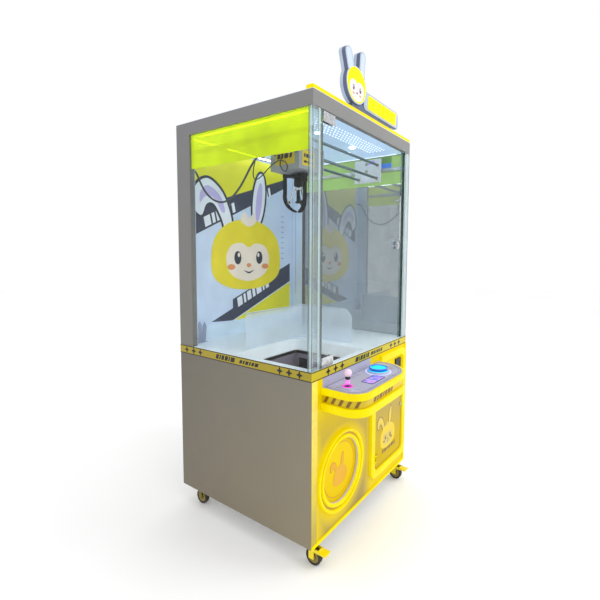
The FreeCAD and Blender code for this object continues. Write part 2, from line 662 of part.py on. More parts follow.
def make_bridge():
    """Two trucks on the side rails, joined by two guide rods and a drive shaft."""
    left = truck("truck_gap", "truck_gap + truck_thick", "rail_inset + 3", "truck_gap",
                 "rail_inset + rail_width + 0.4", "truck_gap")
    right = truck("width - truck_gap - truck_thick", "width - truck_gap", "width - truck_gap",
                  "width - rail_inset - 3", "width - truck_gap",
                  "width - rail_inset - rail_width - 0.4")
    span = "width - 2 * truck_gap - 2 * truck_thick"
    rods = [rod("rod", span, "truck_gap + truck_thick", y, z, "x")
            for y, z in (("rod_a_y", "rod_a_z"), ("rod_b_y", "rod_b_z"), ("rod_c_y", "rod_c_z"))]
    clip = block("truck_gap + truck_thick", "truck_gap + truck_thick + 18", "clip_y",
                 "clip_y + 16", "truck_low + 2", "truck_low + 36")
    node(group(left, right, clip, *rods), "bridge_frame")


def make_carriage():
    """The winch housing: a closed box that slides on both guide rods."""
    sides = ("car_left", "car_right", "car_front", "car_back", "car_low", "car_high")
    room = [f"{side} {'+-'[index % 2]} car_wall" for index, side in enumerate(sides)]
    housing = cut(block(*sides), block(*room))
    bores = [rod("rod + run_fit", "car_right - car_left + 2", "car_left - 1", y, z, "x")
             for y, z in (("rod_a_y", "rod_a_z"), ("rod_b_y", "rod_b_z"))]
    exit_hole = rod("6", "30", "claw_x", "claw_y", "car_low - 1")
    clip = block("car_left - 15", "car_left", "claw_y - 1", "claw_y + 15", "car_high - 30",
                 "car_high - 10")
    node(fuse(cut(housing, fuse(*bores, exit_hole)), clip), "carriage_housing")


# ---------------------------------------------------------------- claw

def around(part, label, angle):
    """Stands a piece of the claw, drawn in the plane y = 0 about z, at its angle."""
    node(part, label, x="claw_x", y="claw_y", rotation=Rotation(Vector(0, 0, 1), angle))


def claw_angles():
    return [dim("claw_turn") + 120 * index for index in range(3)]


def make_claw_head():
    """Spider plate with three forked lobes, coil, and the guide that the collar rides on."""
    low, high, radius = dim("spider_low"), dim("spider_high"), dim("arm_radius")
    pivot, half = dim("arm_pivot"), dim("arm_half") + 0.5
    head = Part.makeCylinder(34, high - low, Vector(0, 0, low))
    for angle in claw_angles():
        lobe = Part.makeBox(radius - 14, 2 * half + 8, high - low,
                            Vector(24, -half - 4, low))
        ear = Part.makeCylinder(10, 2 * half + 8, Vector(radius, -half - 4, pivot), Vector(0, 1, 0))
        fork = lobe.fuse(ear)
        slot = Part.makeBox(30, 2 * half, 60, Vector(radius - 13, -half, low - 20))
        pin = Part.makeCylinder(dim("arm_pin"), 2 * half + 8, Vector(radius, -half - 4, pivot),
                                Vector(0, 1, 0))
        fork = fork.cut(slot).fuse(pin)
        head = head.fuse(fork.rotated(Vector(), Vector(0, 0, 1), angle))
    coil_low, guide_low = dim("coil_low"), dim("guide_low")
    coil = Part.makeCylinder(dim("coil"), low - coil_low, Vector(0, 0, coil_low))
    guide = Part.makeCylinder(dim("guide"), coil_low - guide_low, Vector(0, 0, guide_low))
    cap = Part.makeCylinder(13, 8, Vector(0, 0, guide_low))
    shape = head.fuse([coil, guide, cap])
    node(solid(shape), "claw_head", x="claw_x", y="claw_y")


def make_claw_collar():
    """The collar that slides on the guide and carries the inner ends of the links."""
    level, half, pin = dim("collar_z"), dim("arm_half"), dim("link_pin")
    collar = Part.makeCylinder(12.5, 12, Vector(0, 0, level - 6))
    for angle in claw_angles():
        lug = Part.makeBox(10, 2 * half - 1, 9, Vector(9, -half + 0.5, level - 4.5))
        tip = Part.makeCylinder(pin, half + 5.5, Vector(dim("collar_r"), 0, level),
                                Vector(0, 1, 0))
        collar = collar.fuse(lug.fuse(tip).rotated(Vector(), Vector(0, 0, 1), angle))
    bore = Part.makeCylinder(dim("guide") + dim("run_fit"), 40, Vector(0, 0, level - 20))
    node(solid(collar.cut(bore)), "claw_collar", x="claw_x", y="claw_y")


def arm_outline():
    """Side view of an arm: straight down from its pivot, then curving in to the tip."""
    radius, pivot = dim("arm_radius"), dim("arm_pivot")
    half = 9
    outer = Part.Arc(Vector(radius + half, 1490, 0), Vector(59, 1438, 0), Vector(7, 1405, 0))
    inner = Part.Arc(Vector(3.5, 1411, 0), Vector(44, 1446, 0), Vector(radius - half, 1490, 0))
    crown = Part.Arc(Vector(radius - half, pivot, 0), Vector(radius, pivot + half, 0),
                     Vector(radius + half, pivot, 0))
    return [crown, Part.LineSegment(Vector(radius + half, pivot, 0),
                                    Vector(radius + half, 1490, 0)), outer,
            Part.LineSegment(Vector(7, 1405, 0), Vector(3.5, 1411, 0)), inner,
            Part.LineSegment(Vector(radius - half, 1490, 0), Vector(radius - half, pivot, 0))]


def make_claw_arms():
    """Three arms on the spider's pins, and the links that the collar moves them with."""
    half, pivot = dim("arm_half"), dim("arm_pivot")
    joint = Vector(dim("link_r"), 0, dim("link_z"))
    inner = Vector(dim("collar_r"), 0, dim("collar_z"))
    link_low, link_wide = half + 1, 4
    for number, angle in enumerate(claw_angles(), start=1):
        arm = prism("XZ_Plane", -half, 2 * half, arm_outline())
        bore = Part.makeCylinder(dim("arm_pin") + dim("run_fit"), 4 * half,
                                 Vector(dim("arm_radius"), -2 * half, pivot), Vector(0, 1, 0))
        boss = Part.makeCylinder(8, 2 * half, joint + Vector(0, -half, 0), Vector(0, 1, 0))
        pin = Part.makeCylinder(dim("link_pin"), half + 5.5, joint, Vector(0, 1, 0))
        around(solid(arm.cut(bore).fuse([boss, pin])), f"claw_arm_{number}", angle)

        run = inner - joint
        bar = Part.makeBox(run.Length, link_wide, 8, Vector(0, link_low, -4))
        turn = math.degrees(math.atan2(run.z, run.x))
        bar.rotate(Vector(), Vector(0, 1, 0), -turn)
        bar.translate(joint)
        for end, eye in ((joint, 8), (inner, 4.8)):
            bar = bar.fuse(Part.makeCylinder(eye, link_wide, end + Vector(0, link_low, 0),
                                             Vector(0, 1, 0)))
        loose = Part.makeCylinder(dim("link_pin") + dim("open_pivot"), 30, joint, Vector(0, 1, 0))
        close = Part.makeCylinder(dim("link_pin") + dim("run_fit"), 30, inner, Vector(0, 1, 0))
        around(solid(bar.cut(loose.fuse(close))), f"claw_link_{number}", angle)


def make_hoist_cord():
    """The cord from the winch to the claw, short because the claw is wound up."""
    node(rod("cord", "car_low + 20 - spider_high", "claw_x", "claw_y", "spider_high"),
         "hoist_cord")


# ---------------------------------------------------------------- cables

def cable(points, radius, label):
    """A hanging cable: straight runs joined by tangent arcs, swept with a round section."""
    route = [Vector(*point) for point in points]
    edges, bends = [], []
    start = route[0]
    for before, corner, after in zip(route, route[1:], route[2:]):
        back, ahead = before - corner, after - corner
        half_turn = (math.pi - back.getAngle(ahead)) / 2
        reach = 0.45 * min(back.Length, ahead.Length)
        bend = reach / math.tan(half_turn)
        enter = corner + back.normalize() * reach
        leave = corner + ahead.normalize() * reach
        inward = (back + ahead).normalize()
        middle = corner + inward * (bend / math.cos(half_turn) - bend)
        edges.append(Part.LineSegment(start, enter).toShape())
        edges.append(Part.Arc(enter, middle, leave).toShape())
        bends.append(bend)
        start = leave
    edges.append(Part.LineSegment(start, route[-1]).toShape())
    spine = Part.Wire(edges)
    section = Part.Wire(Part.Circle(route[0], route[1] - route[0], radius).toShape())
    tube = spine.makePipeShell([section], True, True)
    expected = math.pi * radius ** 2 * spine.Length
    print(f"{label}: length {spine.Length:.1f}, volume {tube.Volume / expected:.4f} of section by "
          f"length, radii", " ".join(f"{bend:.0f}" for bend in bends))
    node(solid(tube), label)


TRUNK_ROUTE = [(60, 832, 1636), (60, 802, 1636), (61, 778, 1611), (63, 755, 1566),
               (65, 718, 1513), (67, 668, 1475), (67, 610, 1457), (66, 556, 1462),
               (64, 508, 1486), (62, 466, 1520), (60, 430, 1558), (59, 400, 1596),
               (58, 372, 1624), (58, 350, 1640), (58, 334.3, 1641)]
CARRIAGE_ROUTE = [(58, 334.3, 1657), (60, 352, 1656), (74, 376, 1648), (91, 400, 1630),
                  (101, 420, 1607), (105, 427.5, 1584), (106, 424.5, 1561), (106, 404, 1552),
                  (103, 368, 1566), (98, 330, 1590), (92, 290, 1609), (88, 254, 1619),
                  (86, 220, 1613), (87, 201, 1592), (92, 212, 1569), (98, 238, 1574),
                  (103, 259, 1597), (108, 263, 1622), (110, 254, 1642), (110, 254, 1659.7)]


# ---------------------------------------------------------------- casters

def make_casters():
    """Four swivel casters; the front pair has a foot brake."""
    spots = [(x, y) for y in ("caster_inset", "caster_rear")
             for x in ("caster_inset", "width - caster_inset")]
    plates = []
    for x, y in spots:
        plates.append(fuse(block(f"{x} - caster_plate / 2", f"{x} + caster_plate / 2",
                                 f"{y} - caster_plate / 2", f"{y} + caster_plate / 2", "-4", "0"),
                           rod("stem", "18", x, y, "-22")))
    node(group(*plates), "caster_plates")

    for name, (x, y) in zip(("front_left", "front_right", "rear_left", "rear_right"), spots):
        braked = name.startswith("front")
        wheel_y, wheel_z = f"{y} - trail", "wheel - caster_height"
        head = rod("22", "16", x, y, "-21")
        cheeks = []
        for start, end in (("-wheel_width / 2 - 1.5 - cheek", "-wheel_width / 2 - 1.5"),
                           ("wheel_width / 2 + 1.5", "wheel_width / 2 + 1.5 + cheek")):
            side = (f"{x} + {start}", f"{x} + {end}")
            cheeks.append(block(*side, f"{y} - 24", f"{y} + 12", "-21 - 12", "-21 + 2"))
            cheeks.append(block(*side, f"{wheel_y} - 8", f"{wheel_y} + 18",
                                f"{wheel_z} - 8", "-21"))
            if braked:
                cheeks.append(block(*side, f"{y} - 69", f"{y} - 20", "-34", "-20"))
        across = ("wheel_width + 3 + 2 * cheek", f"{x} - wheel_width / 2 - 1.5 - cheek")
        pins = [rod("axle", *across, wheel_y, wheel_z, "x")]
        if braked:
            pins.append(rod("pedal_pin", *across, f"{y} - 62", "-27", "x"))
        bore = rod("stem + run_fit", "30", x, y, "-30")
        crown = rod("wheel + 2", "wheel_width + 2.9", f"{x} - wheel_width / 2 - 1.45", wheel_y,
                    wheel_z, "x")
        node(fuse(cut(fuse(head, *cheeks), fuse(bore, crown)), *pins), f"fork_{name}")

        radius, half = dim("wheel"), dim("wheel_width") / 2
        profile = rounded([(dim("axle") + dim("run_fit"), -half, 0), (14, -half, 0),
                           (14, -half + 3, 0), (radius - 9, -half + 3, 0), (radius - 8, -half, 0),
                           (radius, -half, 4), (radius, half, 4), (radius - 8, half, 0),
                           (radius - 9, half - 3, 0), (14, half - 3, 0), (14, half, 0),
                           (dim("axle") + dim("run_fit"), half, 0)])
        node(turned(profile), f"wheel_{name}", x=x, y=wheel_y, z=wheel_z,
             rotation=Rotation(Vector(0, 1, 0), 90))
        if braked:
            make_pedal(name, x, y)


def make_pedal(name, x, y):
    """A foot brake on its own pin between the fork's cheeks, reaching forward of the wheel."""
    pin_y, pin_z = f"{y} - 62", "-27"
    barrel = rod("6.5", "wheel_width", f"{x} - wheel_width / 2", pin_y, pin_z, "x")
    neck = block(f"{x} - wheel_width / 2", f"{x} + wheel_width / 2", f"{y} - 74", pin_y,
                 f"{pin_z} - 4", f"{pin_z} + 3")
    tread = block(f"{x} - 19", f"{x} + 19", f"{y} - 100", f"{y} - 72", f"{pin_z} - 4",
                  f"{pin_z} + 3")
    bore = rod("pedal_pin + run_fit", "60", f"{x} - 30", pin_y, pin_z, "x")
    node(cut(fuse(barrel, neck, tread), bore), f"pedal_{name}")


# ---------------------------------------------------------------- assembly and export

def make_all():
    """Builds every sub-part of the machine, from the floor up."""
    make_casters()
    make_base_frame()
    make_side_panels()
    make_lower_back_panel()
    make_power_inlet()
    make_front_panel()
    make_waist_band()
    make_prize_chute()
    make_prize_door()
    make_cash_door()
    make_coin_acceptor()
    make_internals()
    make_console()
    make_joystick()
    make_upper_frame()
    make_upper_panels()
    make_corner_posts()
    make_side_glasses()
    make_tray()
    make_fence()
    make_glass_door()
    make_lights()
    make_topper()
    make_rails()
    make_bridge()
    make_carriage()
    make_claw_head()
    make_claw_collar()
    make_claw_arms()
    make_hoist_cord()
    cable(TRUNK_ROUTE, 4.5, "trunk_cable")
    cable(CARRIAGE_ROUTE, 2.5, "carriage_cable")


def check_all():
    """Stops if any object failed, or if a sub-part has no valid solid."""
    for item in doc.Objects:
        if "Invalid" in item.State or "Error" in item.State:
            raise RuntimeError(f"{item.Label} ({item.TypeId}) failed: {item.State}")
    for part in NODES:
        shape = part.Shape
        if shape.isNull() or not shape.isValid() or not shape.Solids:
            raise RuntimeError(f"{part.Label} has no valid solid")


def export_all():
    os.makedirs("parts", exist_ok=True)
    for part in NODES:
        part.Shape.exportStep(f"parts/{part.Label}.step")
        bounds = part.Shape.BoundBox
        print(f"{part.Label:20s} solids {len(part.Shape.Solids):3d}  x {bounds.XMin:7.1f} "
              f"{bounds.XMax:7.1f}  y {bounds.YMin:7.1f} {bounds.YMax:7.1f}  z {bounds.ZMin:7.1f} "
              f"{bounds.ZMax:7.1f}  volume {part.Shape.Volume / 1000:9.1f} cm3")
    print(len(NODES), "nodes")


make_all()
doc.recompute()
check_all()
export_all()
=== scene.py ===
"""The looks of a claw crane machine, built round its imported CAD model.

Everything is in metres in the model's frame: +X right, -Y front, +Z up.  Places are written in
cabinet millimetres, x from the left side, y back from the front sheet and z up from the underside
of the body, and at() turns them into the frame.
"""
import math

import bmesh
import bpy
from mathutils import Matrix, Vector


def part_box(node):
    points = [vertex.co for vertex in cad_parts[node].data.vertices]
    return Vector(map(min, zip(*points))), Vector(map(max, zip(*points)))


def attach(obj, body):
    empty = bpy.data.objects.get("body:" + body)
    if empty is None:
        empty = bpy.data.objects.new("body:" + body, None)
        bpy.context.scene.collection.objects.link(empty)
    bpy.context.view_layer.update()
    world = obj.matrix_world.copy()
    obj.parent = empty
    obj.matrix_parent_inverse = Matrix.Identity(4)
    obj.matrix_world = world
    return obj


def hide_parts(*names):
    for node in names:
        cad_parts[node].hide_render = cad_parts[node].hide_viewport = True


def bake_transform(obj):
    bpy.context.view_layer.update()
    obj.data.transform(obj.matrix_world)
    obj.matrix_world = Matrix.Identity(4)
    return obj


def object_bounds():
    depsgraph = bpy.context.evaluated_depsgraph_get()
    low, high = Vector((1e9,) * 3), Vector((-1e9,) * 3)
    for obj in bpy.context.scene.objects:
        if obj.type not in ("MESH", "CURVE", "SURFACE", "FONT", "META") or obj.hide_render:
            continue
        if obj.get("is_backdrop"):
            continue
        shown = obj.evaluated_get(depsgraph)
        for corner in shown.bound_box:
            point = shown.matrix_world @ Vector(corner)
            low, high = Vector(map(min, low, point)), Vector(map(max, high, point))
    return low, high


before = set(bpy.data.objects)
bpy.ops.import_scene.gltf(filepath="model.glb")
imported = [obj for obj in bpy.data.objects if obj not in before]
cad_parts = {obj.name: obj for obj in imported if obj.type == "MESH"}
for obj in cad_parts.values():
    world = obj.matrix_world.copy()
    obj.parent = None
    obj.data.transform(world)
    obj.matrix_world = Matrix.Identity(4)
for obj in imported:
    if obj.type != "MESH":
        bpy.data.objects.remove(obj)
CAD_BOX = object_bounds()
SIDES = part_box("side_panels")
ORIGIN = Vector((SIDES[0].x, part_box("front_panel")[0].y, SIDES[0].z))


def at(x, y, z):
    """A place in cabinet millimetres, in the model's frame."""
    return ORIGIN + Vector((x, y, z)) / 1000


def corners(node):
    """The two corners of a CAD node's box, in whole cabinet millimetres."""
    return [Vector([round(value * 1000) for value in corner - ORIGIN]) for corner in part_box(node)]


def axis_of(node, along):
    """The axis through the middle of a CAD node's box, as its place where x, y or z is 0."""
    low, high = corners(node)
    place = (low + high) / 2
    setattr(place, along, 0)
    return place


# Main sizes.  The play room reaches from the band's top to the ceiling.
WIDTH, DEPTH, BAND_TOP = corners("side_panels")[1]
BAND_FOOT = corners("waist_band")[0].z
CEILING, ROOF = (corner.z for corner in corners("roof_panels"))
CONSOLE_LOW, CONSOLE_HIGH = corners("console_shell")
CONSOLE_TOP, BUMPER = 669, 12

# Axes of round parts.
BUTTON, STICK = axis_of("start_button", "z"), axis_of("joystick_base", "z")
PRIZE_DOOR = axis_of("prize_bezel", "y")
CASH_LOCK, CLAW = (815, 0, 367), (212, 247, 0)


# ---------------------------------------------------------------- camera

def make_camera():
    """A wide view from the front left, a little above the middle of the cabinet."""
    yaw, pitch, roll = (math.radians(angle) for angle in (56.218, 4.488, 0.588))
    ahead = Vector((math.sin(yaw) * math.cos(pitch), math.cos(yaw) * math.cos(pitch),
                    -math.sin(pitch)))
    right = Vector((math.cos(yaw), -math.sin(yaw), 0))
    turn = Matrix((right, right.cross(ahead), -ahead)).transposed()
    data = bpy.data.cameras.new("camera")
    data.sensor_width = 36
    data.lens = 23.76
    data.shift_x, data.shift_y = -0.0635, -0.026
    camera = bpy.data.objects.new("camera", data)
    camera.matrix_world = (Matrix.Translation(at(-1220.9, -937.8, 1220))
                           @ (turn @ Matrix.Rotation(roll, 3, "Z")).to_4x4())
    bpy.context.collection.objects.link(camera)
    bpy.context.scene.camera = camera


# ---------------------------------------------------------------- outlines and meshes

def arc(centre, radius, start, end, steps=8):
    """Points on an arc, angles in degrees."""
    for step in range(steps + 1):
        angle = math.radians(start + (end - start) * step / steps)
        yield (centre[0] + radius * math.cos(angle), centre[1] + radius * math.sin(angle))


def round_box(left, right, low, high, corner, steps=8):
    """A rectangle with rounded corners, anticlockwise from its lower right corner."""
    points = []
    for x, z, start in ((right - corner, low + corner, -90), (right - corner, high - corner, 0),
                        (left + corner, high - corner, 90), (left + corner, low + corner, 180)):
        points += arc((x, z), corner, start, start + 90, steps)
    return points


def oval(x, z, wide, tall, lean=0.0, steps=48):
    """An ellipse of these half sizes, leaning clockwise by an angle in degrees."""
    turn = math.radians(-lean)
    points = []
    for u, v in arc((0, 0), 1, 0, 360 * (1 - 1 / steps), steps - 1):
        points.append((x + u * wide * math.cos(turn) - v * tall * math.sin(turn),
                       z + u * wide * math.sin(turn) + v * tall * math.cos(turn)))
    return points


def loop(corners, steps=6):
    """A smooth closed line through given points."""
    points = []
    count = len(corners)
    for index in range(count):
        a, b, c, d = (Vector(corners[(index + shift) % count]) for shift in (-1, 0, 1, 2))
        for step in range(steps):
            t = step / steps
            point = 0.5 * (2 * b + (c - a) * t + (2 * a - 5 * b + 4 * c - d) * t ** 2
                           + (3 * b - a - 3 * c + d) * t ** 3)
            points.append(tuple(point))
    return points


def star(x, z, size):
    """A star with four hollow-sided points."""
    points = []
    for quarter in range(4):
        turn = math.pi / 2 * quarter
        for angle, reach in ((0, 1.0), (0.42, 0.56), (math.pi / 4, 0.40),
                             (math.pi / 2 - 0.42, 0.56)):
            points.append((x + size * reach * math.cos(turn + angle),
                           z + size * reach * math.sin(turn + angle)))
    return points


def slanted(x, z, wide, tall, lean):
    """A parallelogram on its base, its top pushed to the right by lean."""
    return [(x, z), (x + wide, z), (x + wide + lean, z + tall), (x + lean, z + tall)]


def offset(path, reach):
    """A closed path moved to its left by a distance."""
    moved = []
    for index, point in enumerate(path):
        along = Vector(path[(index + 1) % len(path)]) - Vector(path[index - 1])
        side = Vector((-along.y, along.x)).normalized()
        moved.append((point[0] + side.x * reach, point[1] + side.y * reach))
    return moved


def stand(point, plane, level):
    """A point of an outline, at its level across the plane that the outline is drawn in."""
    u, v = point
    return {"xz": at(u, level, v), "yz": at(level, u, v), "xy": at(u, v, level)}[plane]


def prism(outline, plane, start, end):
    """An outline made into a closed solid between two levels."""
    count = len(outline)
    vertices = [stand(point, plane, level) for level in (start, end) for point in outline]
    faces = [list(range(count)), list(range(count, 2 * count))[::-1]]
    faces += [[i, i + count, (i + 1) % count + count, (i + 1) % count] for i in range(count)]
    return vertices, faces


def prisms(outlines, plane, start, end, ink=0):
    """A prism from each outline, all of one paint."""
    return [(*prism(outline, plane, start, end), ink) for outline in outlines]


def box(x0, x1, y0, y1, z0, z1):
    """A block between three pairs of levels."""
    return prism([(x0, z0), (x1, z0), (x1, z1), (x0, z1)], "xz", y0, y1)


def ring(outer, inner, plane, start, end):
    """The solid between two outlines that have as many points as each other."""
    count = len(outer)
    vertices = [stand(point, plane, level) for level in (start, end)
                for line in (outer, inner) for point in line]
    faces = []
    for i in range(count):
        j = (i + 1) % count
        a, b, c, d = 0, count, 2 * count, 3 * count
        faces += [[a + i, a + j, b + j, b + i], [c + j, c + i, d + i, d + j],
                  [a + j, a + i, c + i, c + j], [b + i, b + j, d + j, d + i]]
    return vertices, faces


def border(left, right, low, high, corner, width, plane, start, end):
    """A line of a width round the inside of a rectangle with rounded corners."""
    outer = round_box(left, right, low, high, corner)
    inner = round_box(left + width, right - width, low + width, high - width, corner - 2)
    return ring(outer, inner, plane, start, end)


def lathe(profile, centre, axis="z", steps=72, closed=False):
    """A profile of (radius, height) points turned round an axis through a place."""
    count = len(profile)
    vertices, faces = [], []
    for step in range(steps):
        angle = 2 * math.pi * step / steps
        for radius, height in profile:
            u, v = radius * math.cos(angle), radius * math.sin(angle)
            move = {"z": (u, v, height), "y": (u, -height, v), "x": (height, u, v)}[axis]
            vertices.append(at(*(c + m for c, m in zip(centre, move))))
    for step in range(steps):
        here, there = step * count, (step + 1) % steps * count
        for i in range(count if closed else count - 1):
            j = (i + 1) % count
            faces.append([here + i, there + i, there + j, here + j])
    if not closed:
        for end in (0, count - 1):
            if profile[end][0] > 0:
                faces.append([step * count + end for step in range(steps)])
    return vertices, faces


def washer(inner, outer, start, end, centre, axis="z", steps=72):
    """The solid between two radii and two levels along an axis."""
    profile = [(inner, start), (outer, start), (outer, end), (inner, end)]
    return lathe(profile, centre, axis, steps, closed=True)


def sweep(points, radius, sides=12):
    """A round tube along a line of points in the model's frame, closed at its ends."""
    vertices, faces = [], []
    normal = None
    for index, point in enumerate(points):
        ahead = (points[min(index + 1, len(points) - 1)] - points[max(index - 1, 0)]).normalized()
        if normal is None:
            normal = ahead.orthogonal()
        normal = (normal - ahead * normal.dot(ahead)).normalized()
        side = ahead.cross(normal)
        for turn in range(sides):
            angle = 2 * math.pi * turn / sides
            vertices.append(point + radius * (normal * math.cos(angle) + side * math.sin(angle)))
    for index in range(len(points) - 1):
        for turn in range(sides):
            a, b = index * sides + turn, index * sides + (turn + 1) % sides
            faces.append([a, b, b + sides, a + sides])
    faces += [list(range(sides))[::-1], list(range(len(vertices) - sides, len(vertices)))]
    return vertices, faces


def tube(points, radius, sides=16):
    """A tube between places in cabinet millimetres, radius in millimetres."""
    return sweep([at(*point) for point in points], radius / 1000, sides)


def piece(name, shells, paint, body="cabinet", bevel=0.0, smooth=False, stands_for=()):
    """One object from closed shells.  A shell may carry the number of its paint as a third item."""
    paints = paint if isinstance(paint, list) else [paint]
    vertices, faces, numbers = [], [], []
    for shell in shells:
        start = len(vertices)
        vertices += shell[0]
        faces += [[start + index for index in face] for face in shell[1]]
        numbers += [shell[2] if len(shell) > 2 else 0] * len(shell[1])
    mesh = bpy.data.meshes.new(name)
    mesh.from_pydata(vertices, [], faces)
    mesh.polygons.foreach_set("material_index", numbers)
    for material in paints:
        mesh.materials.append(material)
    shape = bmesh.new()
    shape.from_mesh(mesh)
    bmesh.ops.recalc_face_normals(shape, faces=shape.faces)
    shape.to_mesh(mesh)
    shape.free()
    obj = bpy.data.objects.new(name, mesh)
    bpy.context.collection.objects.link(obj)
    if smooth:
        mesh.shade_smooth()
    if bevel:
        edges = obj.modifiers.new("edges", "BEVEL")
        edges.width = bevel / 1000
        edges.segments = 3
        edges.limit_method = "ANGLE"
        edges.angle_limit = math.radians(40)
        edges.use_clamp_overlap = True
        soften = obj.modifiers.new("normals", "WEIGHTED_NORMAL")
        soften.keep_sharp = True
        mesh.shade_smooth()
    if body:
        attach(obj, body)
    if stands_for:
        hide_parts(*stands_for)
    return obj


# ---------------------------------------------------------------- materials

def tone(red, green, blue):
    """A colour as seen on a screen, 0 to 255, as the light it stands for."""
    return tuple((value / 255) ** 2.2 for value in (red, green, blue)) + (1.0,)


def shade(colour, factor):
    """A colour made darker by a factor."""
    return tuple(value * factor for value in colour[:3]) + (1.0,)


class Paint:
    """A material and short ways to build its nodes."""

    def __init__(self, name, **sockets):
        self.material = bpy.data.materials.new(name)
        self.material.use_nodes = True
        self.tree = self.material.node_tree
        self.skin = self.tree.nodes["Principled BSDF"]
        self.place = self.add("ShaderNodeTexCoord", output="Object")
        for socket, value in sockets.items():
            self.skin.inputs[socket.replace("_", " ")].default_value = value

    def add(self, kind, inputs=None, output=0, **settings):
        """A new node with these settings and inputs; gives back one of its outputs."""
        node = self.tree.nodes.new(kind)
        for setting, value in settings.items():
            setattr(node, setting, value)
        for socket, value in (inputs or {}).items():
            self.feed(node.inputs[socket], value)
        return node.outputs[output]

    def feed(self, socket, value):
        if isinstance(value, bpy.types.NodeSocket):
            self.tree.links.new(value, socket)
        else:
            socket.default_value = value

    def give(self, socket, value):
        """Feeds an input of the material's skin."""
        self.feed(self.skin.inputs[socket], value)

    def noise(self, scale, detail=3.0, stretch=None):
        """Cloudy grey, its features about 1 / scale metres wide."""
        place = self.place
        if stretch:
            place = self.add("ShaderNodeMapping", {"Vector": place, "Scale": stretch})
        return self.add("ShaderNodeTexNoise", {"Vector": place, "Scale": scale, "Detail": detail},
                        "Fac")

    def along(self, axis):
        """How far along X, Y or Z a point lies, in metres."""
        return self.add("ShaderNodeSeparateXYZ", {"Vector": self.place}, axis)

    def spread(self, value, start, end, low, high):
        """A value from start to end, taken to low to high and held beyond them."""
        return self.add("ShaderNodeMapRange", {"Value": value, "From Min": start, "From Max": end,
                                               "To Min": low, "To Max": high}, "Result")

    def maths(self, kind, first, second, clamp=False):
        return self.add("ShaderNodeMath", {0: first, 1: second}, operation=kind, use_clamp=clamp)

    def mix(self, share, first, second, kind="MIX"):
        """A share of the second colour in the first."""
        return self.add("ShaderNodeMix", {0: share, 6: first, 7: second}, 2, data_type="RGBA",
                        blend_type=kind)

    def layer(self, share, first, second):
        """A share of the second shader in the first."""
        return self.add("ShaderNodeMixShader", {0: share, 1: first, 2: second})

    def bump(self, height, depth, strength):
        """The lie of a surface with fine relief, its depth in millimetres."""
        return self.add("ShaderNodeBump", {"Height": height, "Strength": strength,
                                           "Distance": depth / 1000}, "Normal")

    def colour(self, first, second, scale, stretch=None):
        """Base colour that drifts from one colour to another."""
        share = self.spread(self.noise(scale, stretch=stretch), 0.35, 0.65, 0.0, 1.0)
        self.give("Base Color", self.mix(share, first, second))

    def gloss(self, low, high, scale=14.0, stretch=None):
        """Roughness that varies as on a surface that is wiped now and then."""
        self.give("Roughness", self.spread(self.noise(scale, stretch=stretch), 0.35, 0.65, low, high))

    def shine(self, colour, strength):
        self.give("Emission Color", colour)
        self.give("Emission Strength", strength)

    def relief(self, height, depth, strength=0.35):
        """Fine relief, its depth in millimetres."""
        self.give("Normal", self.bump(height, depth, strength))

    def surface(self, shader):
        """Puts a shader in the skin's place."""
        self.feed(self.tree.nodes["Material Output"].inputs["Surface"], shader)


def sheet_with_painted_light(name, top, foot, rear):
    """Powder-coated sheet with painted light: cooler near the top of the cabinet, warmer below as
    painted yellow glow of the lit strips, darker to the rear as painted shade.
    """
    paint = Paint(name, Specular_IOR_Level=0.35)
    cloud = paint.spread(paint.noise(3.0), 0.2, 0.8, -0.1, 0.1)
    rise = paint.spread(paint.along("Z"), 0.1, 2.0, 0.0, 1.0)
    # Painted glow: the foot colour is the sheet warmed by the lit strips' yellow light.
    colour = paint.mix(paint.maths("ADD", rise, cloud, clamp=True), foot, top)
    # Painted shade: the colour darkens towards the rear by the rear factor.
    back = paint.spread(paint.along("Y"), ORIGIN.y, ORIGIN.y + DEPTH / 1000, 0.0, 1.0)
    rear_shade = paint.mix(back, (1.0, 1.0, 1.0, 1.0), (rear, rear, rear * 1.05, 1.0))
    paint.give("Base Color", paint.mix(1.0, colour, rear_shade, "MULTIPLY"))
    paint.gloss(0.32, 0.44)
    paint.relief(paint.noise(420.0, 2.0), 0.25)
    return paint.material


def painted(name, colour, rough=0.4, drift=0.9, grain=420.0, **sockets):
    """Powder-coated sheet or moulded plastic, with drifting tone, uneven gloss and orange peel."""
    paint = Paint(name, **sockets)
    paint.colour(colour, shade(colour, drift), 3.5)
    paint.gloss(rough - 0.04, rough + 0.06)
    paint.relief(paint.noise(grain, 2.0), 0.25)
    return paint.material


def metal(name, colour, rough, stretch=(1.0, 1.0, 1.0), scale=60.0):
    """Brushed or plated metal, its grain drawn out along the axis that has the least stretch."""
    paint = Paint(name, Metallic=1.0)
    paint.colour(colour, shade(colour, 0.75), scale, stretch)
    paint.gloss(rough - 0.06, rough + 0.12, scale, stretch)
    paint.relief(paint.noise(scale * 4, stretch=stretch), 0.05, 0.2)
    return paint.material


def glowing(name, colour, deep, strength, pitch=60.0):
    """A lit diffuser over a row of diodes: slightly brighter over each one."""
    paint = Paint(name, Specular_IOR_Level=0.1)
    paint.colour(shade(colour, 0.55), shade(deep, 0.5), 8.0)
    paint.gloss(0.3, 0.42)
    paint.shine(paint.mix(paint.noise(5.0), colour, deep),
                paint.spread(paint.noise(pitch, 1.0), 0.3, 0.7, strength * 0.95, strength * 1.05))
    paint.relief(paint.noise(300.0), 0.1)
    return paint.material


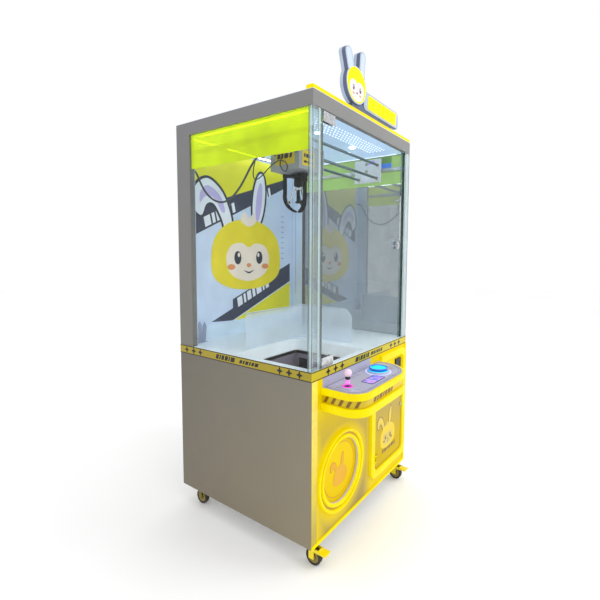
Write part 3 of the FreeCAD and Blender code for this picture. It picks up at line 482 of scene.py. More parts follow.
def fading(name, colour, deep, low, high, strength):
    """A diffuser that is dark at one height, in metres, and fully lit at another."""
    paint = Paint(name, Specular_IOR_Level=0.2)
    paint.colour(shade(colour, 0.6), shade(deep, 0.55), 8.0)
    paint.gloss(0.3, 0.42)
    rise = paint.spread(paint.along("Z"), low, high, 0.0, strength)
    ripple = paint.spread(paint.noise(60.0, 1.0), 0.3, 0.7, 0.85, 1.1)
    paint.shine(paint.mix(paint.noise(5.0), colour, deep), paint.maths("MULTIPLY", rise, ripple))
    paint.relief(paint.noise(300.0), 0.1)
    return paint.material


def clear(name, tint, mirror, wide, haze):
    """Clear sheet: lets light straight through, mirrors more at a slant, with faint haze on it."""
    paint = Paint(name)
    smear = paint.spread(paint.noise(9.0, 4.0), 0.4, 0.75, 0.0, 1.0)
    seen = paint.add("ShaderNodeBsdfTransparent",
                     {"Color": paint.mix(smear, shade(tint, 0.96), tint)})
    shine = paint.add("ShaderNodeBsdfGlossy", {
        "Color": (0.846, 0.882, 0.9, 1.0),
        "Roughness": paint.spread(paint.noise(30.0), 0.3, 0.7, 0.01, 0.04),
        "Normal": paint.bump(paint.noise(7.0, 2.0), 0.5, 0.05)})
    slant = paint.add("ShaderNodeLayerWeight", {"Blend": 0.35}, "Facing")
    sheet = paint.layer(paint.spread(slant, 0.0, 1.0, mirror, mirror + wide), seen, shine)
    dust = paint.add("ShaderNodeBsdfDiffuse", {"Color": tone(235, 240, 245)})
    share = paint.spread(paint.noise(22.0, 5.0), 0.45, 0.8, haze * 0.4, haze * 2.0)
    paint.surface(paint.layer(share, sheet, dust))
    return paint.material


def film(name, colour, see, glow):
    """Coloured film or frosted sheet: takes the light behind it and lets a share through, with a
    painted glow added on top.
    """
    paint = Paint(name)
    cloud = paint.mix(paint.spread(paint.noise(6.0, 4.0), 0.3, 0.7, 0.0, 1.0), colour,
                      shade(colour, 0.86))
    grain = paint.bump(paint.noise(500.0), 0.2, 0.3)
    front = paint.add("ShaderNodeBsdfDiffuse", {
        "Color": cloud, "Roughness": paint.spread(paint.noise(14.0), 0.3, 0.7, 0.1, 0.5),
        "Normal": grain})
    behind = paint.add("ShaderNodeBsdfTranslucent", {"Color": cloud, "Normal": grain})
    # Painted glow: the film shines a little on its own, as if lit from behind.
    light = paint.add("ShaderNodeEmission", {"Color": cloud, "Strength": glow})
    lit = paint.add("ShaderNodeAddShader", {0: paint.layer(0.5, front, behind), 1: light})
    gap = paint.add("ShaderNodeBsdfTransparent", {"Color": colour})
    share = paint.spread(paint.noise(260.0), 0.3, 0.7, see * 0.95, see * 1.05)
    paint.surface(paint.layer(share, lit, gap))
    return paint.material


def printed(name, colour, glow=0.0):
    """Printed film: a fine screen of dots in a slightly uneven ink."""
    paint = Paint(name)
    screen = paint.add("ShaderNodeTexVoronoi", {"Vector": paint.place, "Scale": 900.0}, "Distance")
    ink = paint.mix(paint.spread(paint.noise(4.0), 0.3, 0.7, 0.0, 1.0), colour,
                    shade(colour, 0.93))
    result = paint.mix(paint.spread(screen, 0.2, 0.6, 0.0, 0.25), ink, shade(colour, 0.88))
    paint.give("Base Color", result)
    if glow:
        paint.shine(result, glow)
    paint.gloss(0.40, 0.53)
    paint.relief(paint.noise(600.0), 0.05, 0.2)
    return paint.material


def front_sheet_painted_glow(name):
    """The front sheet's colour: beige low in the middle, with painted golden glow where the lit
    strips shine on it.
    """
    paint = Paint(name, Specular_IOR_Level=0.06)
    across, up = paint.along("X"), paint.along("Z")
    away = paint.add("ShaderNodeVectorMath", {0: paint.place, 1: at(*PRIZE_DOOR)}, "Value",
                     operation="DISTANCE")
    share = paint.spread(across, ORIGIN.x + 0.03, ORIGIN.x + 0.13, 1.0, 0.0)
    for glow in (paint.spread(up, ORIGIN.z + 0.28, ORIGIN.z + 0.58, 0.0, 1.0),
                 paint.spread(away, 0.18, 0.27, 1.0, 0.0),
                 paint.spread(across, ORIGIN.x + 0.40, ORIGIN.x + 0.50, 0.0, 0.9)):
        share = paint.maths("MAXIMUM", share, glow)
    cloud = paint.spread(paint.noise(5.0), 0.2, 0.8, -0.08, 0.08)
    share = paint.maths("ADD", share, cloud, clamp=True)
    # Painted glow: golden near the lit strips, at the left edge, up under the console, round the
    # prize door and to the right; beige elsewhere.
    paint.give("Base Color", paint.mix(share, tone(162, 142, 92), tone(200, 174, 0)))
    # The same painted glow also shines out, though the sheet is no lamp.
    paint.shine((1.0, 0.80, 0.0, 1.0), paint.spread(share, 0.2, 1.0, 0.0, 0.26))
    paint.gloss(0.28, 0.4)
    paint.relief(paint.noise(420.0, 2.0), 0.2)
    return paint.material


def sheet_with_painted_light_fade(name, pale, yellow, low, high):
    """Sheet whose colour fades from yellow at one height, in metres, to pale at another: painted
    light, not print.
    """
    paint = Paint(name, Specular_IOR_Level=0.05)
    cloud = paint.spread(paint.noise(5.0), 0.2, 0.8, -0.12, 0.12)
    rise = paint.spread(paint.along("Z"), low, high, 0.0, 1.0)
    paint.give("Base Color", paint.mix(paint.maths("ADD", rise, cloud, clamp=True), yellow, pale))
    paint.gloss(0.3, 0.42)
    paint.relief(paint.noise(420.0, 2.0), 0.2)
    return paint.material


YELLOW, AMBER = (1.0, 0.88, 0.0, 1.0), (1.0, 0.76, 0.0, 1.0)

SHEET = sheet_with_painted_light("sheet", tone(126, 126, 126), tone(126, 122, 108), rear=0.86)
# The side panels: the same sheet painted darker, as painted shade on the sides that face away from
# the light.
SIDE_SHADED = sheet_with_painted_light("side_sheet_painted_shade", tone(108, 113, 114), tone(136, 126, 105), rear=0.66)
SHEET_IN = painted("inner_sheet", tone(216, 230, 250), rough=0.4, drift=0.97)
FRONT = front_sheet_painted_glow("front_sheet")
STEEL = painted("frame_paint", tone(190, 190, 188), rough=0.5, grain=600.0)
GREY = painted("chute_grey", tone(140, 132, 152), rough=0.45)
WHITE = painted("white_plastic", tone(236, 238, 242), rough=0.25, Coat_Weight=0.3)
TRAY = painted("tray_white", tone(240, 248, 255), rough=0.35, drift=0.97)
PLATE = painted("console_white", tone(182, 181, 202), rough=0.3, drift=0.96)
HOUSING = painted("housing_grey", tone(150, 152, 156), rough=0.45, grain=900.0)
BLACK = painted("black_plastic", tone(26, 25, 24), rough=0.35, drift=0.7)
GLOSS_BLACK = painted("black_enamel", tone(8, 8, 10), rough=0.45, drift=0.7,
                      Specular_IOR_Level=0.2)
RUBBER = painted("cable_rubber", tone(52, 60, 60), rough=0.55, drift=0.8, grain=1200.0)
# The tyres' brown-yellow is dark rubber with painted yellow glow from the lit strips.
TYRE = painted("tyre_rubber", tone(56, 48, 30), rough=0.6, drift=0.7, grain=800.0)
BAND = painted("band_yellow", tone(200, 182, 10), rough=0.4, drift=0.94)
# The band's yellow darkened to olive for its side sheets: painted shade.
BAND_SHADED = painted("band_olive_painted_shade", tone(166, 148, 10), rough=0.4, drift=0.9)
INK = printed("ink_black", tone(24, 24, 26))
BRONZE_INK = printed("ink_bronze", tone(128, 98, 4))
GOLD = painted("yellow_plastic", tone(214, 186, 0), rough=0.35)
PEDAL = painted("pedal_yellow", tone(250, 225, 20), rough=0.35)
RODS = metal("rod_steel", tone(126, 144, 146), rough=0.22, stretch=(0.05, 1.0, 1.0))
ZINC = metal("zinc_plate", tone(190, 186, 170), rough=0.35, scale=40.0)
CASTER_ZINC = metal("caster_zinc", tone(132, 120, 70), rough=0.4, scale=40.0)
CHROME = metal("chrome", tone(205, 208, 212), rough=0.1)
ALLOY = metal("rail_alloy", tone(188, 190, 194), rough=0.3, stretch=(1.0, 0.04, 1.0))
NEON = glowing("neon_yellow", YELLOW, AMBER, 0.42)
NEON_SOFT = fading("neon_side", (0.92, 0.74, 0.08, 1.0), (0.84, 0.66, 0.14, 1.0), 0.15, 0.62, 0.55)
GLASS = clear("glass", (0.975, 0.99, 0.99, 1.0), mirror=0.004, wide=0.06, haze=0.003)
# A darker, more mirroring copy of the glass for the right pane: painted shade.
GLASS_SHADED = clear("glass_painted_shade", (0.48, 0.52, 0.55, 1.0), mirror=0.2, wide=0.2, haze=0.02)
ACRYLIC = clear("acrylic", (0.93, 0.97, 0.98, 1.0), mirror=0.06, wide=0.25, haze=0.01)
# Each film's glow is a painted glow on top of the light that passes through it.
FENCE = film("fence_acrylic", (0.88, 0.93, 0.98, 1.0), 0.62, glow=0.16)
LIME = film("lime_film", (0.76, 0.86, 0.0, 1.0), 0.35, glow=0.36)
# A paler, brighter-glowing copy of the lime film for the right pane: painted light.
PALE_LIME = film("pale_lime_film", (0.50, 0.70, 0.30, 1.0), 0.3, glow=0.42)
FROST = film("frosted_sheet", (0.80, 0.88, 0.92, 1.0), 0.35, glow=0.24)
# Dark green for the dark-looking edges of the clear posts and door: painted shade.
GREEN_EDGE = painted("glass_edge_painted_shade", tone(34, 66, 56), rough=0.25)
# A darker amber for the floor of the prize door's groove: painted shade in the recess.
GROOVE_SHADE = painted("groove_painted_shade", tone(196, 156, 0), rough=0.4)
LED = glowing("white_diodes", (0.86, 0.94, 1.0, 1.0), (0.75, 0.86, 1.0, 1.0), 9.0, pitch=90.0)


def dress():
    """Gives each carried-over CAD node its material."""
    paints = {
        SHEET: ("lower_back_panel", "upper_frame", "upper_back_panel"), SIDE_SHADED: ("side_panels",),
        STEEL: ("base_frame",), FRONT: ("front_panel",), GREY: ("prize_chute",),
        SHEET_IN: ("roof_panels",), TRAY: ("tray",), PLATE: ("console_plate", "joystick_base"),
        HOUSING: ("carriage_housing",), BLACK: ("power_inlet", "coin_acceptor"),
        GOLD: ("console_shell",), ZINC: ("coin_box", "power_supply", "joystick_gimbal"),
        CASTER_ZINC: ("caster_plates", "fork_rear_left", "fork_rear_right"),
        CHROME: ("coin_return_button", "cash_lock", "door_lock", "claw_collar", "claw_link_1",
                 "claw_link_2", "claw_link_3", "door_fittings"),
        GLOSS_BLACK: ("claw_head", "claw_arm_1", "claw_arm_2", "claw_arm_3"),
        ALLOY: ("side_rails",), ACRYLIC: ("corner_posts",), FENCE: ("fence_panels",),
        GLASS: ("glass_door",),
        PEDAL: ("pedal_front_left", "pedal_front_right", "fork_front_left", "fork_front_right"),
        TYRE: ("wheel_front_left", "wheel_front_right", "wheel_rear_left", "wheel_rear_right"),
        printed("backdrop_white", tone(214, 228, 250)): ("backdrop",),
        NEON: ("neon_strips", "cash_frame", "prize_bezel"),
        BAND: ("waist_band",),
        WHITE: ("topper_sign", "joystick_lever", "start_button", "bridge_frame"),
        # The cash door: painted yellow glow of the lit strips low down, paler above.
        sheet_with_painted_light_fade("cash_door_painted_glow", tone(164, 148, 110), tone(200, 170, 0), 0.30, 0.66):
            ("cash_door",),
        # The flap: painted shade, a little darker low down.
        sheet_with_painted_light_fade("flap_painted_shade", tone(232, 202, 6), tone(222, 188, 4), 0.2, 0.5):
            ("prize_flap",),
    }
    for material, nodes in paints.items():
        for name in nodes:
            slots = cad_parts[name].data.materials
            slots.clear()
            slots.append(material)


# ---------------------------------------------------------------- cables

TRUNK_ROUTE = [(60, 832, 1636), (60, 802, 1636), (61, 778, 1611), (63, 755, 1566),
               (65, 718, 1513), (67, 668, 1475), (67, 610, 1457), (66, 556, 1462),
               (64, 508, 1486), (62, 466, 1520), (60, 430, 1558), (59, 400, 1596),
               (58, 372, 1624), (58, 350, 1640), (58, 334.3, 1641)]
CARRIAGE_ROUTE = [(58, 334.3, 1657), (60, 352, 1656), (74, 376, 1648), (91, 400, 1630),
                  (101, 420, 1607), (105, 427.5, 1584), (106, 424.5, 1561), (106, 404, 1552),
                  (103, 368, 1566), (98, 330, 1590), (92, 290, 1609), (88, 254, 1619),
                  (86, 220, 1613), (87, 201, 1592), (92, 212, 1569), (98, 238, 1574),
                  (103, 259, 1597), (108, 263, 1622), (110, 254, 1642), (110, 254, 1659.7)]


def centreline(name, route):
    """The smooth line of a cable: a NURBS spline with its route's points as control points."""
    curve = bpy.data.curves.new(name, "CURVE")
    curve.dimensions = "3D"
    curve.resolution_u = 12
    spline = curve.splines.new("NURBS")
    spline.points.add(len(route) - 1)
    for point, place in zip(spline.points, route):
        point.co = (*at(*place), 1.0)
    spline.order_u = 3
    spline.use_endpoint_u = True
    line = bpy.data.objects.new(name, curve)
    mesh = bpy.data.meshes.new_from_object(line)
    points = [vertex.co.copy() for vertex in mesh.vertices]
    bpy.data.objects.remove(line)
    bpy.data.meshes.remove(mesh)
    return points


def make_cable(name, route, radius):
    """A hanging cable from one body to another."""
    points = centreline(f"{name}_line", route)
    cable = piece(f"{name}_sleeve", [sweep(points, radius / 1000)], RUBBER, body=None, smooth=True,
                  stands_for=[name])
    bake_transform(cable)
    length = sum((b - a).length for a, b in zip(points, points[1:]))
    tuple(points[0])


def make_cords():
    """The two hanging cables, and the hoist's cord from the carriage to the claw."""
    make_cable("trunk_cable", TRUNK_ROUTE, 4.5)
    make_cable("carriage_cable", CARRIAGE_ROUTE, 2.5)
    rings = [at(CLAW[0], CLAW[1], 1576 + step) for step in range(29)]
    cord = piece("hoist_rope", [sweep(rings, 0.002, 10)], BLACK, body=None, smooth=True,
                 stands_for=["hoist_cord"])
    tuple(rings[-1])
    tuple(rings[0])
    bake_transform(cord)


# ---------------------------------------------------------------- stage

def make_stage():
    """Pale floor, white surroundings and two soft lights."""
    half = 14.0
    mesh = bpy.data.meshes.new("floor")
    mesh.from_pydata([(-half, -half, 0), (half, -half, 0), (half, half, 0), (-half, half, 0)],
                     [], [(0, 1, 2, 3)])
    paint = Paint("floor", Roughness=0.7)
    paint.colour((0.93, 0.93, 0.93, 1.0), (0.90, 0.90, 0.90, 1.0), 0.7)
    paint.shine((1.0, 1.0, 1.0, 1.0), 0.08)
    mesh.materials.append(paint.material)
    floor = bpy.data.objects.new("floor", mesh)
    bpy.context.collection.objects.link(floor)
    floor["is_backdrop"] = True

    world = bpy.data.worlds.new("studio")
    world.use_nodes = True
    surroundings = world.node_tree.nodes["Background"].inputs
    surroundings["Color"].default_value = (1.0, 1.0, 1.0, 1.0)
    surroundings["Strength"].default_value = 1.0
    bpy.context.scene.world = world
    bpy.context.scene.view_settings.view_transform = "Standard"

    for name, place, power, size in (("key", (1.6, -3.6, 3.2), 60, 2.0),
                                     ("top", (0.0, -0.5, 4.5), 30, 2.5)):
        light = bpy.data.lights.new(name, "AREA")
        light.energy = power
        light.size = size
        lamp = bpy.data.objects.new(name, light)
        lamp.location = place
        lamp.visible_glossy = False
        lamp.rotation_euler = (Vector((0, 0, 1.0)) - lamp.location).to_track_quat(
            "-Z", "Y").to_euler()
        bpy.context.collection.objects.link(lamp)


# ---------------------------------------------------------------- drawings

def bars(x, z, tall, gap, widths, lean):
    """A line of slanted bars of given widths, where a sign would carry words."""
    for width in widths:
        yield slanted(x, z, width, tall, lean)
        x += width + gap


def turned(outline, centre, angle):
    """An outline turned anticlockwise about a place by an angle in degrees."""
    rotation = Matrix.Rotation(math.radians(angle), 2)
    return [tuple(Vector(centre) + rotation @ (Vector(point) - Vector(centre)))
            for point in outline]


def sized(layers, x, z, scale):
    """A drawing made at its own size, scaled and moved to its place."""
    return [([(x + u * scale, z + v * scale) for u, v in outline], ink)
            for outline, ink in layers]


# Numbers of the inks of the rabbit drawing.
LINE, FUR, EAR, PINK, FACE, BLUSH = range(6)


def rabbit():
    """A plain rabbit's head about 2 units wide: one ear up, one folded over."""
    upright = oval(0.42, 1.62, 0.24, 0.80, 8)
    inner = oval(0.42, 1.56, 0.12, 0.58, 8)
    folded = loop([(-0.62, 0.80), (-0.72, 1.25), (-0.98, 1.72), (-1.42, 1.98), (-1.80, 1.72),
                   (-1.84, 1.20), (-1.62, 1.02), (-1.46, 1.32), (-1.22, 1.34), (-0.98, 0.98),
                   (-0.82, 0.62)])
    crease = loop([(-0.86, 1.20), (-1.02, 1.58), (-1.40, 1.80), (-1.64, 1.62), (-1.66, 1.34),
                   (-1.48, 1.52), (-1.20, 1.48), (-0.98, 1.16)])
    head = loop([(-1.34, -0.10), (-1.20, 0.48), (-0.72, 0.88), (0.0, 1.02), (0.72, 0.88),
                 (1.20, 0.48), (1.34, -0.10), (1.24, -0.62), (0.70, -0.92), (0.0, -1.0),
                 (-0.70, -0.92), (-1.24, -0.62)])
    face = loop([(-0.84, -0.16), (-0.68, 0.24), (-0.28, 0.34), (0.0, 0.22), (0.28, 0.34),
                 (0.68, 0.24), (0.84, -0.16), (0.62, -0.58), (0.0, -0.76), (-0.62, -0.58)])
    tuft = loop([(-0.30, 0.98), (-0.16, 1.24), (0.02, 1.06), (0.20, 1.22), (0.28, 0.96),
                 (0.0, 0.82)])
    layers = [(offset(shape, -0.07), LINE) for shape in (upright, folded, head)]
    layers += [(upright, EAR), (inner, PINK), (folded, EAR), (crease, PINK), (head, FUR),
               (tuft, FACE), (offset(face, -0.04), LINE), (face, FACE)]
    for side in (-1, 1):
        layers += [(oval(0.42 * side, -0.08, 0.13, 0.19), LINE),
                   (oval(0.38 * side, 0.0, 0.045, 0.06), FACE),
                   (oval(0.66 * side, -0.34, 0.14, 0.08), BLUSH)]
    layers += [(oval(0, -0.30, 0.09, 0.06), BLUSH),
               (loop([(-0.20, -0.44), (0.0, -0.54), (0.20, -0.44), (0.0, -0.49)]), LINE)]
    return layers


def layered(layers, plane, level, step):
    """Outlines stacked in thin sheets towards a viewer, each with the number of its ink."""
    return [(*prism(outline, plane, level + step * index, level + step * (index + 1)), ink)
            for index, (outline, ink) in enumerate(layers)]


# ---------------------------------------------------------------- cabinet looks

def make_waist_band():
    """The band round the cabinet: a sheet with its print of stars, bars and two edge lines."""
    low, high, proud, line = BAND_FOOT, BAND_TOP, 1.6, 3.6
    outside = proud + 0.3
    # The side sheets take the second paint, the band's yellow darkened as painted shade; the front
    # takes the first.
    sheet = [(*box(-proud, 0, 0, DEPTH, low, high), 1),
             (*box(WIDTH, WIDTH + proud, 0, DEPTH, low, high), 1),
             (*box(-proud, WIDTH + proud, -proud, 0, low, high), 0)]
    piece("waist_sheet", sheet, [BAND, BAND_SHADED], stands_for=["waist_band"])

    def print_of(end, stars, large, small, lean):
        shapes = [[(0, z), (end, z), (end, z + line), (0, z + line)] for z in (low, high - line)]
        shapes += [star(place, (low + high) / 2, 18) for place in stars]
        shapes += bars(large, low + 9, 22, 6, (26, 8, 20, 17, 9, 18), lean)
        shapes += bars(small, low + 12, 16, 6, (20, 14, 9, 18, 10, 16), lean)
        return shapes

    side = print_of(DEPTH, (62, 117, 169, 691, 742, 797), 448, 298, -7)
    front = print_of(WIDTH, (111, 166, 218, 700, 748, 798), 328, 476, 7)
    shells = prisms(side, "yz", -outside, -proud) + prisms(front, "xz", -outside, -proud)
    shells += prisms(side, "yz", WIDTH + proud, WIDTH + outside)
    piece("waist_print", shells, INK)


def make_backdrop():
    """The picture on the play room's back wall, and the frosted strip along its foot."""
    inks = [printed(f"print_{name}", tone(*colour)) for name, colour in (
        ("line", (40, 42, 58)), ("fur", (250, 226, 20)), ("ear", (246, 248, 255)),
        ("pink", (206, 190, 240)), ("face", (255, 236, 216)), ("blush", (238, 150, 90)),
        ("lime", (246, 236, 10)), ("band", (52, 56, 78)), ("shade", (150, 176, 226)))]
    lime, band, shadow = 6, 7, 8
    layers = [([(84, 1449), (784, 1698), (784, 1772), (84, 1772)], lime),
              ([(84, 1309), (784, 1643), (784, 1698), (84, 1449)], band),
              ([(179, 837), (332, 897), (332, 949), (831, 1150), (831, 1029), (330, 826)], band),
              ([(345, 826), (831, 1022), (831, 830)], lime)]
    for x, z, widths in ((150, 1352, (44, 20, 30, 16, 40, 22)), (560, 1532, (22, 36, 18)),
                         (372, 900, (40, 18, 34, 24, 44, 16, 30))):
        slope = 25.5 if z > 1000 else 22.0
        layers += [(turned(bar, (x, z), slope), EAR) for bar in bars(x, z, 52, 12, widths, 12)]
    for row in range(9):
        layers.append((slanted(742, 1180 + 34 * row, 26, 6, 3), shadow))
    layers += sized(rabbit(), 458, 1205, 205)
    wall = corners("backdrop")[0].y
    piece("backdrop_picture", layered(layers, "xz", wall, -0.04), inks)
    piece("kick_strip", [box(29, 861, wall - 6, wall - 4, BAND_TOP, BAND_TOP + 75)], FROST)


def make_glazing():
    """The side panes, the films along their tops with a label, and the rear pillars' linings."""
    (left, near, low), (right, far, high) = corners("side_glasses")
    thick, film_foot = 5, 1620
    piece("left_pane", [box(left, left + thick, near, far, low, high)], GLASS,
          bevel=0.6, stands_for=["side_glasses"])
    # The right pane is the same glass painted darker: painted shade.
    piece("right_pane", [box(right - thick, right, near, far, low, high)], GLASS_SHADED,
          bevel=0.6)
    inside = thick + 0.1
    piece("left_film", [box(left + inside, left + inside + 0.4, near, far, film_foot, high)], LIME)
    # The right film is a paler, brighter copy of the left film: painted light.
    piece("right_film", [box(right - inside - 0.4, right - inside, near, far, film_foot, high)],
          PALE_LIME)
    # The label's inks carry a painted glow, as the film under them does.
    label = [(*box(right - 5.9, right - 5.6, 106, 184, foot, foot + 36), ink)
             for ink, foot in enumerate((1742, 1706))]
    piece("film_label", label, [printed("label_green", tone(96, 150, 60), glow=0.2),
                                printed("label_blue", tone(60, 120, 220), glow=0.4)])
    lining = [box(x, x + 1.2, 749, 831, BAND_TOP, CEILING - 1) for x in (860.6, 28.2)]
    piece("pillar_lining", lining, SHEET_IN, bevel=0.2)
    # The lining's holes are drawn as slate dots: painted shade in the openings.
    holes = [oval(804, 950 + 19 * index, 3.2, 4.2, steps=10) for index in range(29)]
    piece("lining_dots", prisms(holes, "yz", 860.0, 860.6),
          printed("hole_painted_shade", tone(96, 104, 124)))


def make_posts():
    """Painted dark edges and painted highlights on the clear corner posts, and painted dark edges
    beside the door.
    """
    painted_edges, lights = [], []
    low, high, wide, deep = BAND_TOP, CEILING, 63, 22
    thick, gap = 2, 0.2
    for x0 in (0, WIDTH - wide):
        x1 = x0 + wide
        for x in (x0 + gap, x1 - gap - thick):
            for y in (gap, deep - gap - thick):
                painted_edges.append(box(x, x + thick, y, y + thick, low, high))
        lights.append(box(x0 + 3.2, x0 + 9, 3.2, 4.4, low, high))
        lights.append(box(x1 - 22, x1 - 10, 3.2, 4.4, low, high))
        lights.append(box(x0 + 3.2, x0 + 4.4, 8, 15, low, high))
    # Dark green strips at the posts' corners: painted shade for the dark edges of the clear sheet,
    # not seals.
    piece("post_painted_edges", painted_edges, GREEN_EDGE)
    # White strips on the posts' faces: painted highlights.
    piece("post_painted_highlights", lights, film("painted_highlight_white", (0.86, 0.93, 0.92, 1.0), 0.5, glow=0.2))
    # Dark strips beside the door: painted shade for the glass edges.
    rim = [box(824.3, 826.6, 2, 14, 752, 1774), box(64, 67, 2, 14, 800, 1726)]
    piece("door_painted_edges", rim, GREEN_EDGE)


def make_neon():
    """The lit yellow strips: round the front, at the roof's edge and round the console."""
    edge, wide = 14, 13
    strips = [box(0, WIDTH, -8, 0, 0, edge), box(WIDTH - wide, WIDTH, -8, 0, edge, BAND_FOOT)]
    roof = [(0, 0), (WIDTH, 0), (WIDTH, 12), (12, 12), (12, 36), (0, 36)]
    strips.append(prism(roof, "xy", ROOF, ROOF + 16))
    piece("neon_edges", strips, NEON, bevel=3, stands_for=["neon_strips"])
    piece("neon_left", [box(0, 36, -3, 0, edge, BAND_FOOT)], NEON_SOFT, bevel=1.2)
    outline = console_path(0) + console_path(BUMPER)[::-1]
    bumpers = [prism(outline, "xy", low, high) for low, high in ((572, 605), (640, 668))]
    piece("neon_bumpers", bumpers, NEON, bevel=3.5)


def console_path(inset):
    """Round the console from above, from its left rear end to its right rear end.

    The inset is measured from the outside of its bumpers.
    """
    reach = BUMPER - inset
    left, right, front = CONSOLE_LOW.x - reach, CONSOLE_HIGH.x + reach, CONSOLE_LOW.y - reach
    tight, wide = 85 - inset, 150 - inset
    return ([(left, 0)] + list(arc((left + tight, front + tight), tight, 180, 270, 14))
            + list(arc((right - wide, front + wide), wide, 270, 360, 20)) + [(right, 0)])


def walk(path, distance):
    """The place at a distance along a path, and the way to the path's right there."""
    for start, end in zip(path, path[1:]):
        span = Vector(end) - Vector(start)
        if distance <= span.length:
            break
        distance -= span.length
    ahead = span.normalized()
    return Vector(start) + ahead * distance, Vector((ahead.y, -ahead.x))


def wrapped(x, z, wide, tall, lean, path):
    """A slanted bar laid round a path, from a distance along it, standing a little proud."""
    columns, rows = 5, 4
    vertices, faces = [], []
    for reach in (-0.4, 0.6):
        for row in range(rows + 1):
            for column in range(columns + 1):
                distance = x + wide * column / columns + lean * row / rows
                place, away = walk(path, distance)
                vertices.append(at(*(place + away * reach), z + tall * row / rows))
    width, layer = columns + 1, (columns + 1) * (rows + 1)
    for row in range(rows):
        for column in range(columns):
            a = row * width + column
            for start in (a, a + layer):
                faces.append([start, start + 1, start + 1 + width, start + width])
    rim = list(range(width)) + [row * width + columns for row in range(1, rows + 1)]
    rim += [rows * width + column for column in range(columns - 1, -1, -1)]
    rim += [row * width for row in range(rows - 1, 0, -1)]
    faces += [[a, b, b + layer, a + layer] for a, b in zip(rim, rim[1:] + rim[:1])]
    return vertices, faces


def make_console_print():
    """The marks between the bumpers, and the print, display and button light on the console's top."""
    top, ink = CONSOLE_TOP, CONSOLE_TOP + 0.3
    path = console_path(BUMPER)
    slots = [wrapped(6 + 36 * index, 609, 15, 26, 14, path) for index in range(5)]
    distance = 258
    for width in (20, 12, 26, 10, 18, 24, 12):
        slots.append(wrapped(distance, 612, width, 19, 7, path))
        distance += width + 8
    piece("console_slots", slots, BRONZE_INK)
    piece("console_upstand", [box(74, 476, -0.8, 0, top, BAND_FOOT)], PLATE, bevel=0.2)

    lines = []
    for inset in (17, 26):
        outlines = []
        for further in (0, 2.4):
            path = console_path(inset + further)
            rear = -8 - further
            outlines.append(path[1:-1] + [(path[-1][0], rear), (path[0][0], rear)])
        lines.append(ring(*outlines, "xy", top, ink))
    dots = [oval(190 + 11 * column, -40 + 9 * row, 2.2, 2.2, steps=10)
            for column in range(12) for row in range(3)]
    dots += [oval(470 + 9 * column, -128 + 9 * row, 1.8, 1.8, steps=10)
             for column in range(5) for row in range(7)]
    piece("console_lines", lines + prisms(dots, "xy", top, ink),
          printed("print_lilac", tone(112, 104, 136)))
    patch = round_box(226, 338, -150, -98, 8)
    piece("console_display", [prism(patch, "xy", top, top + 1)], display_paint(),
          bevel=0.3)
    edge = border(222, 342, -154, -94, 10, 4.2, "xy", top, top + 1.4)
    piece("display_frame", [edge], printed("print_navy", tone(70, 60, 120)), bevel=0.3)
    piece("button_halo", [washer(53, 62, top, top + 0.8, BUTTON)],
          glowing("halo_lilac", (0.62, 0.60, 1.0, 1.0), (0.50, 0.62, 1.0, 1.0), 0.8))


def display_paint():
    """A small lit display: soft patches of violet, blue and pink."""
    paint = Paint("display", Coat_Weight=0.6)
    patches = paint.add("ShaderNodeTexVoronoi", {"Vector": paint.place, "Scale": 55.0}, "Distance")
    cool = paint.mix(paint.noise(40.0), (0.16, 0.10, 0.55, 1.0), (0.05, 0.28, 0.80, 1.0))
    mixed = paint.mix(paint.spread(patches, 0.1, 0.8, 0.0, 1.0), (0.75, 0.30, 0.75, 1.0), cool)
    paint.give("Base Color", mixed)
    paint.shine(mixed, 0.5)
    paint.gloss(0.15, 0.3)
    paint.relief(paint.noise(500.0), 0.05, 0.2)
    return paint.material


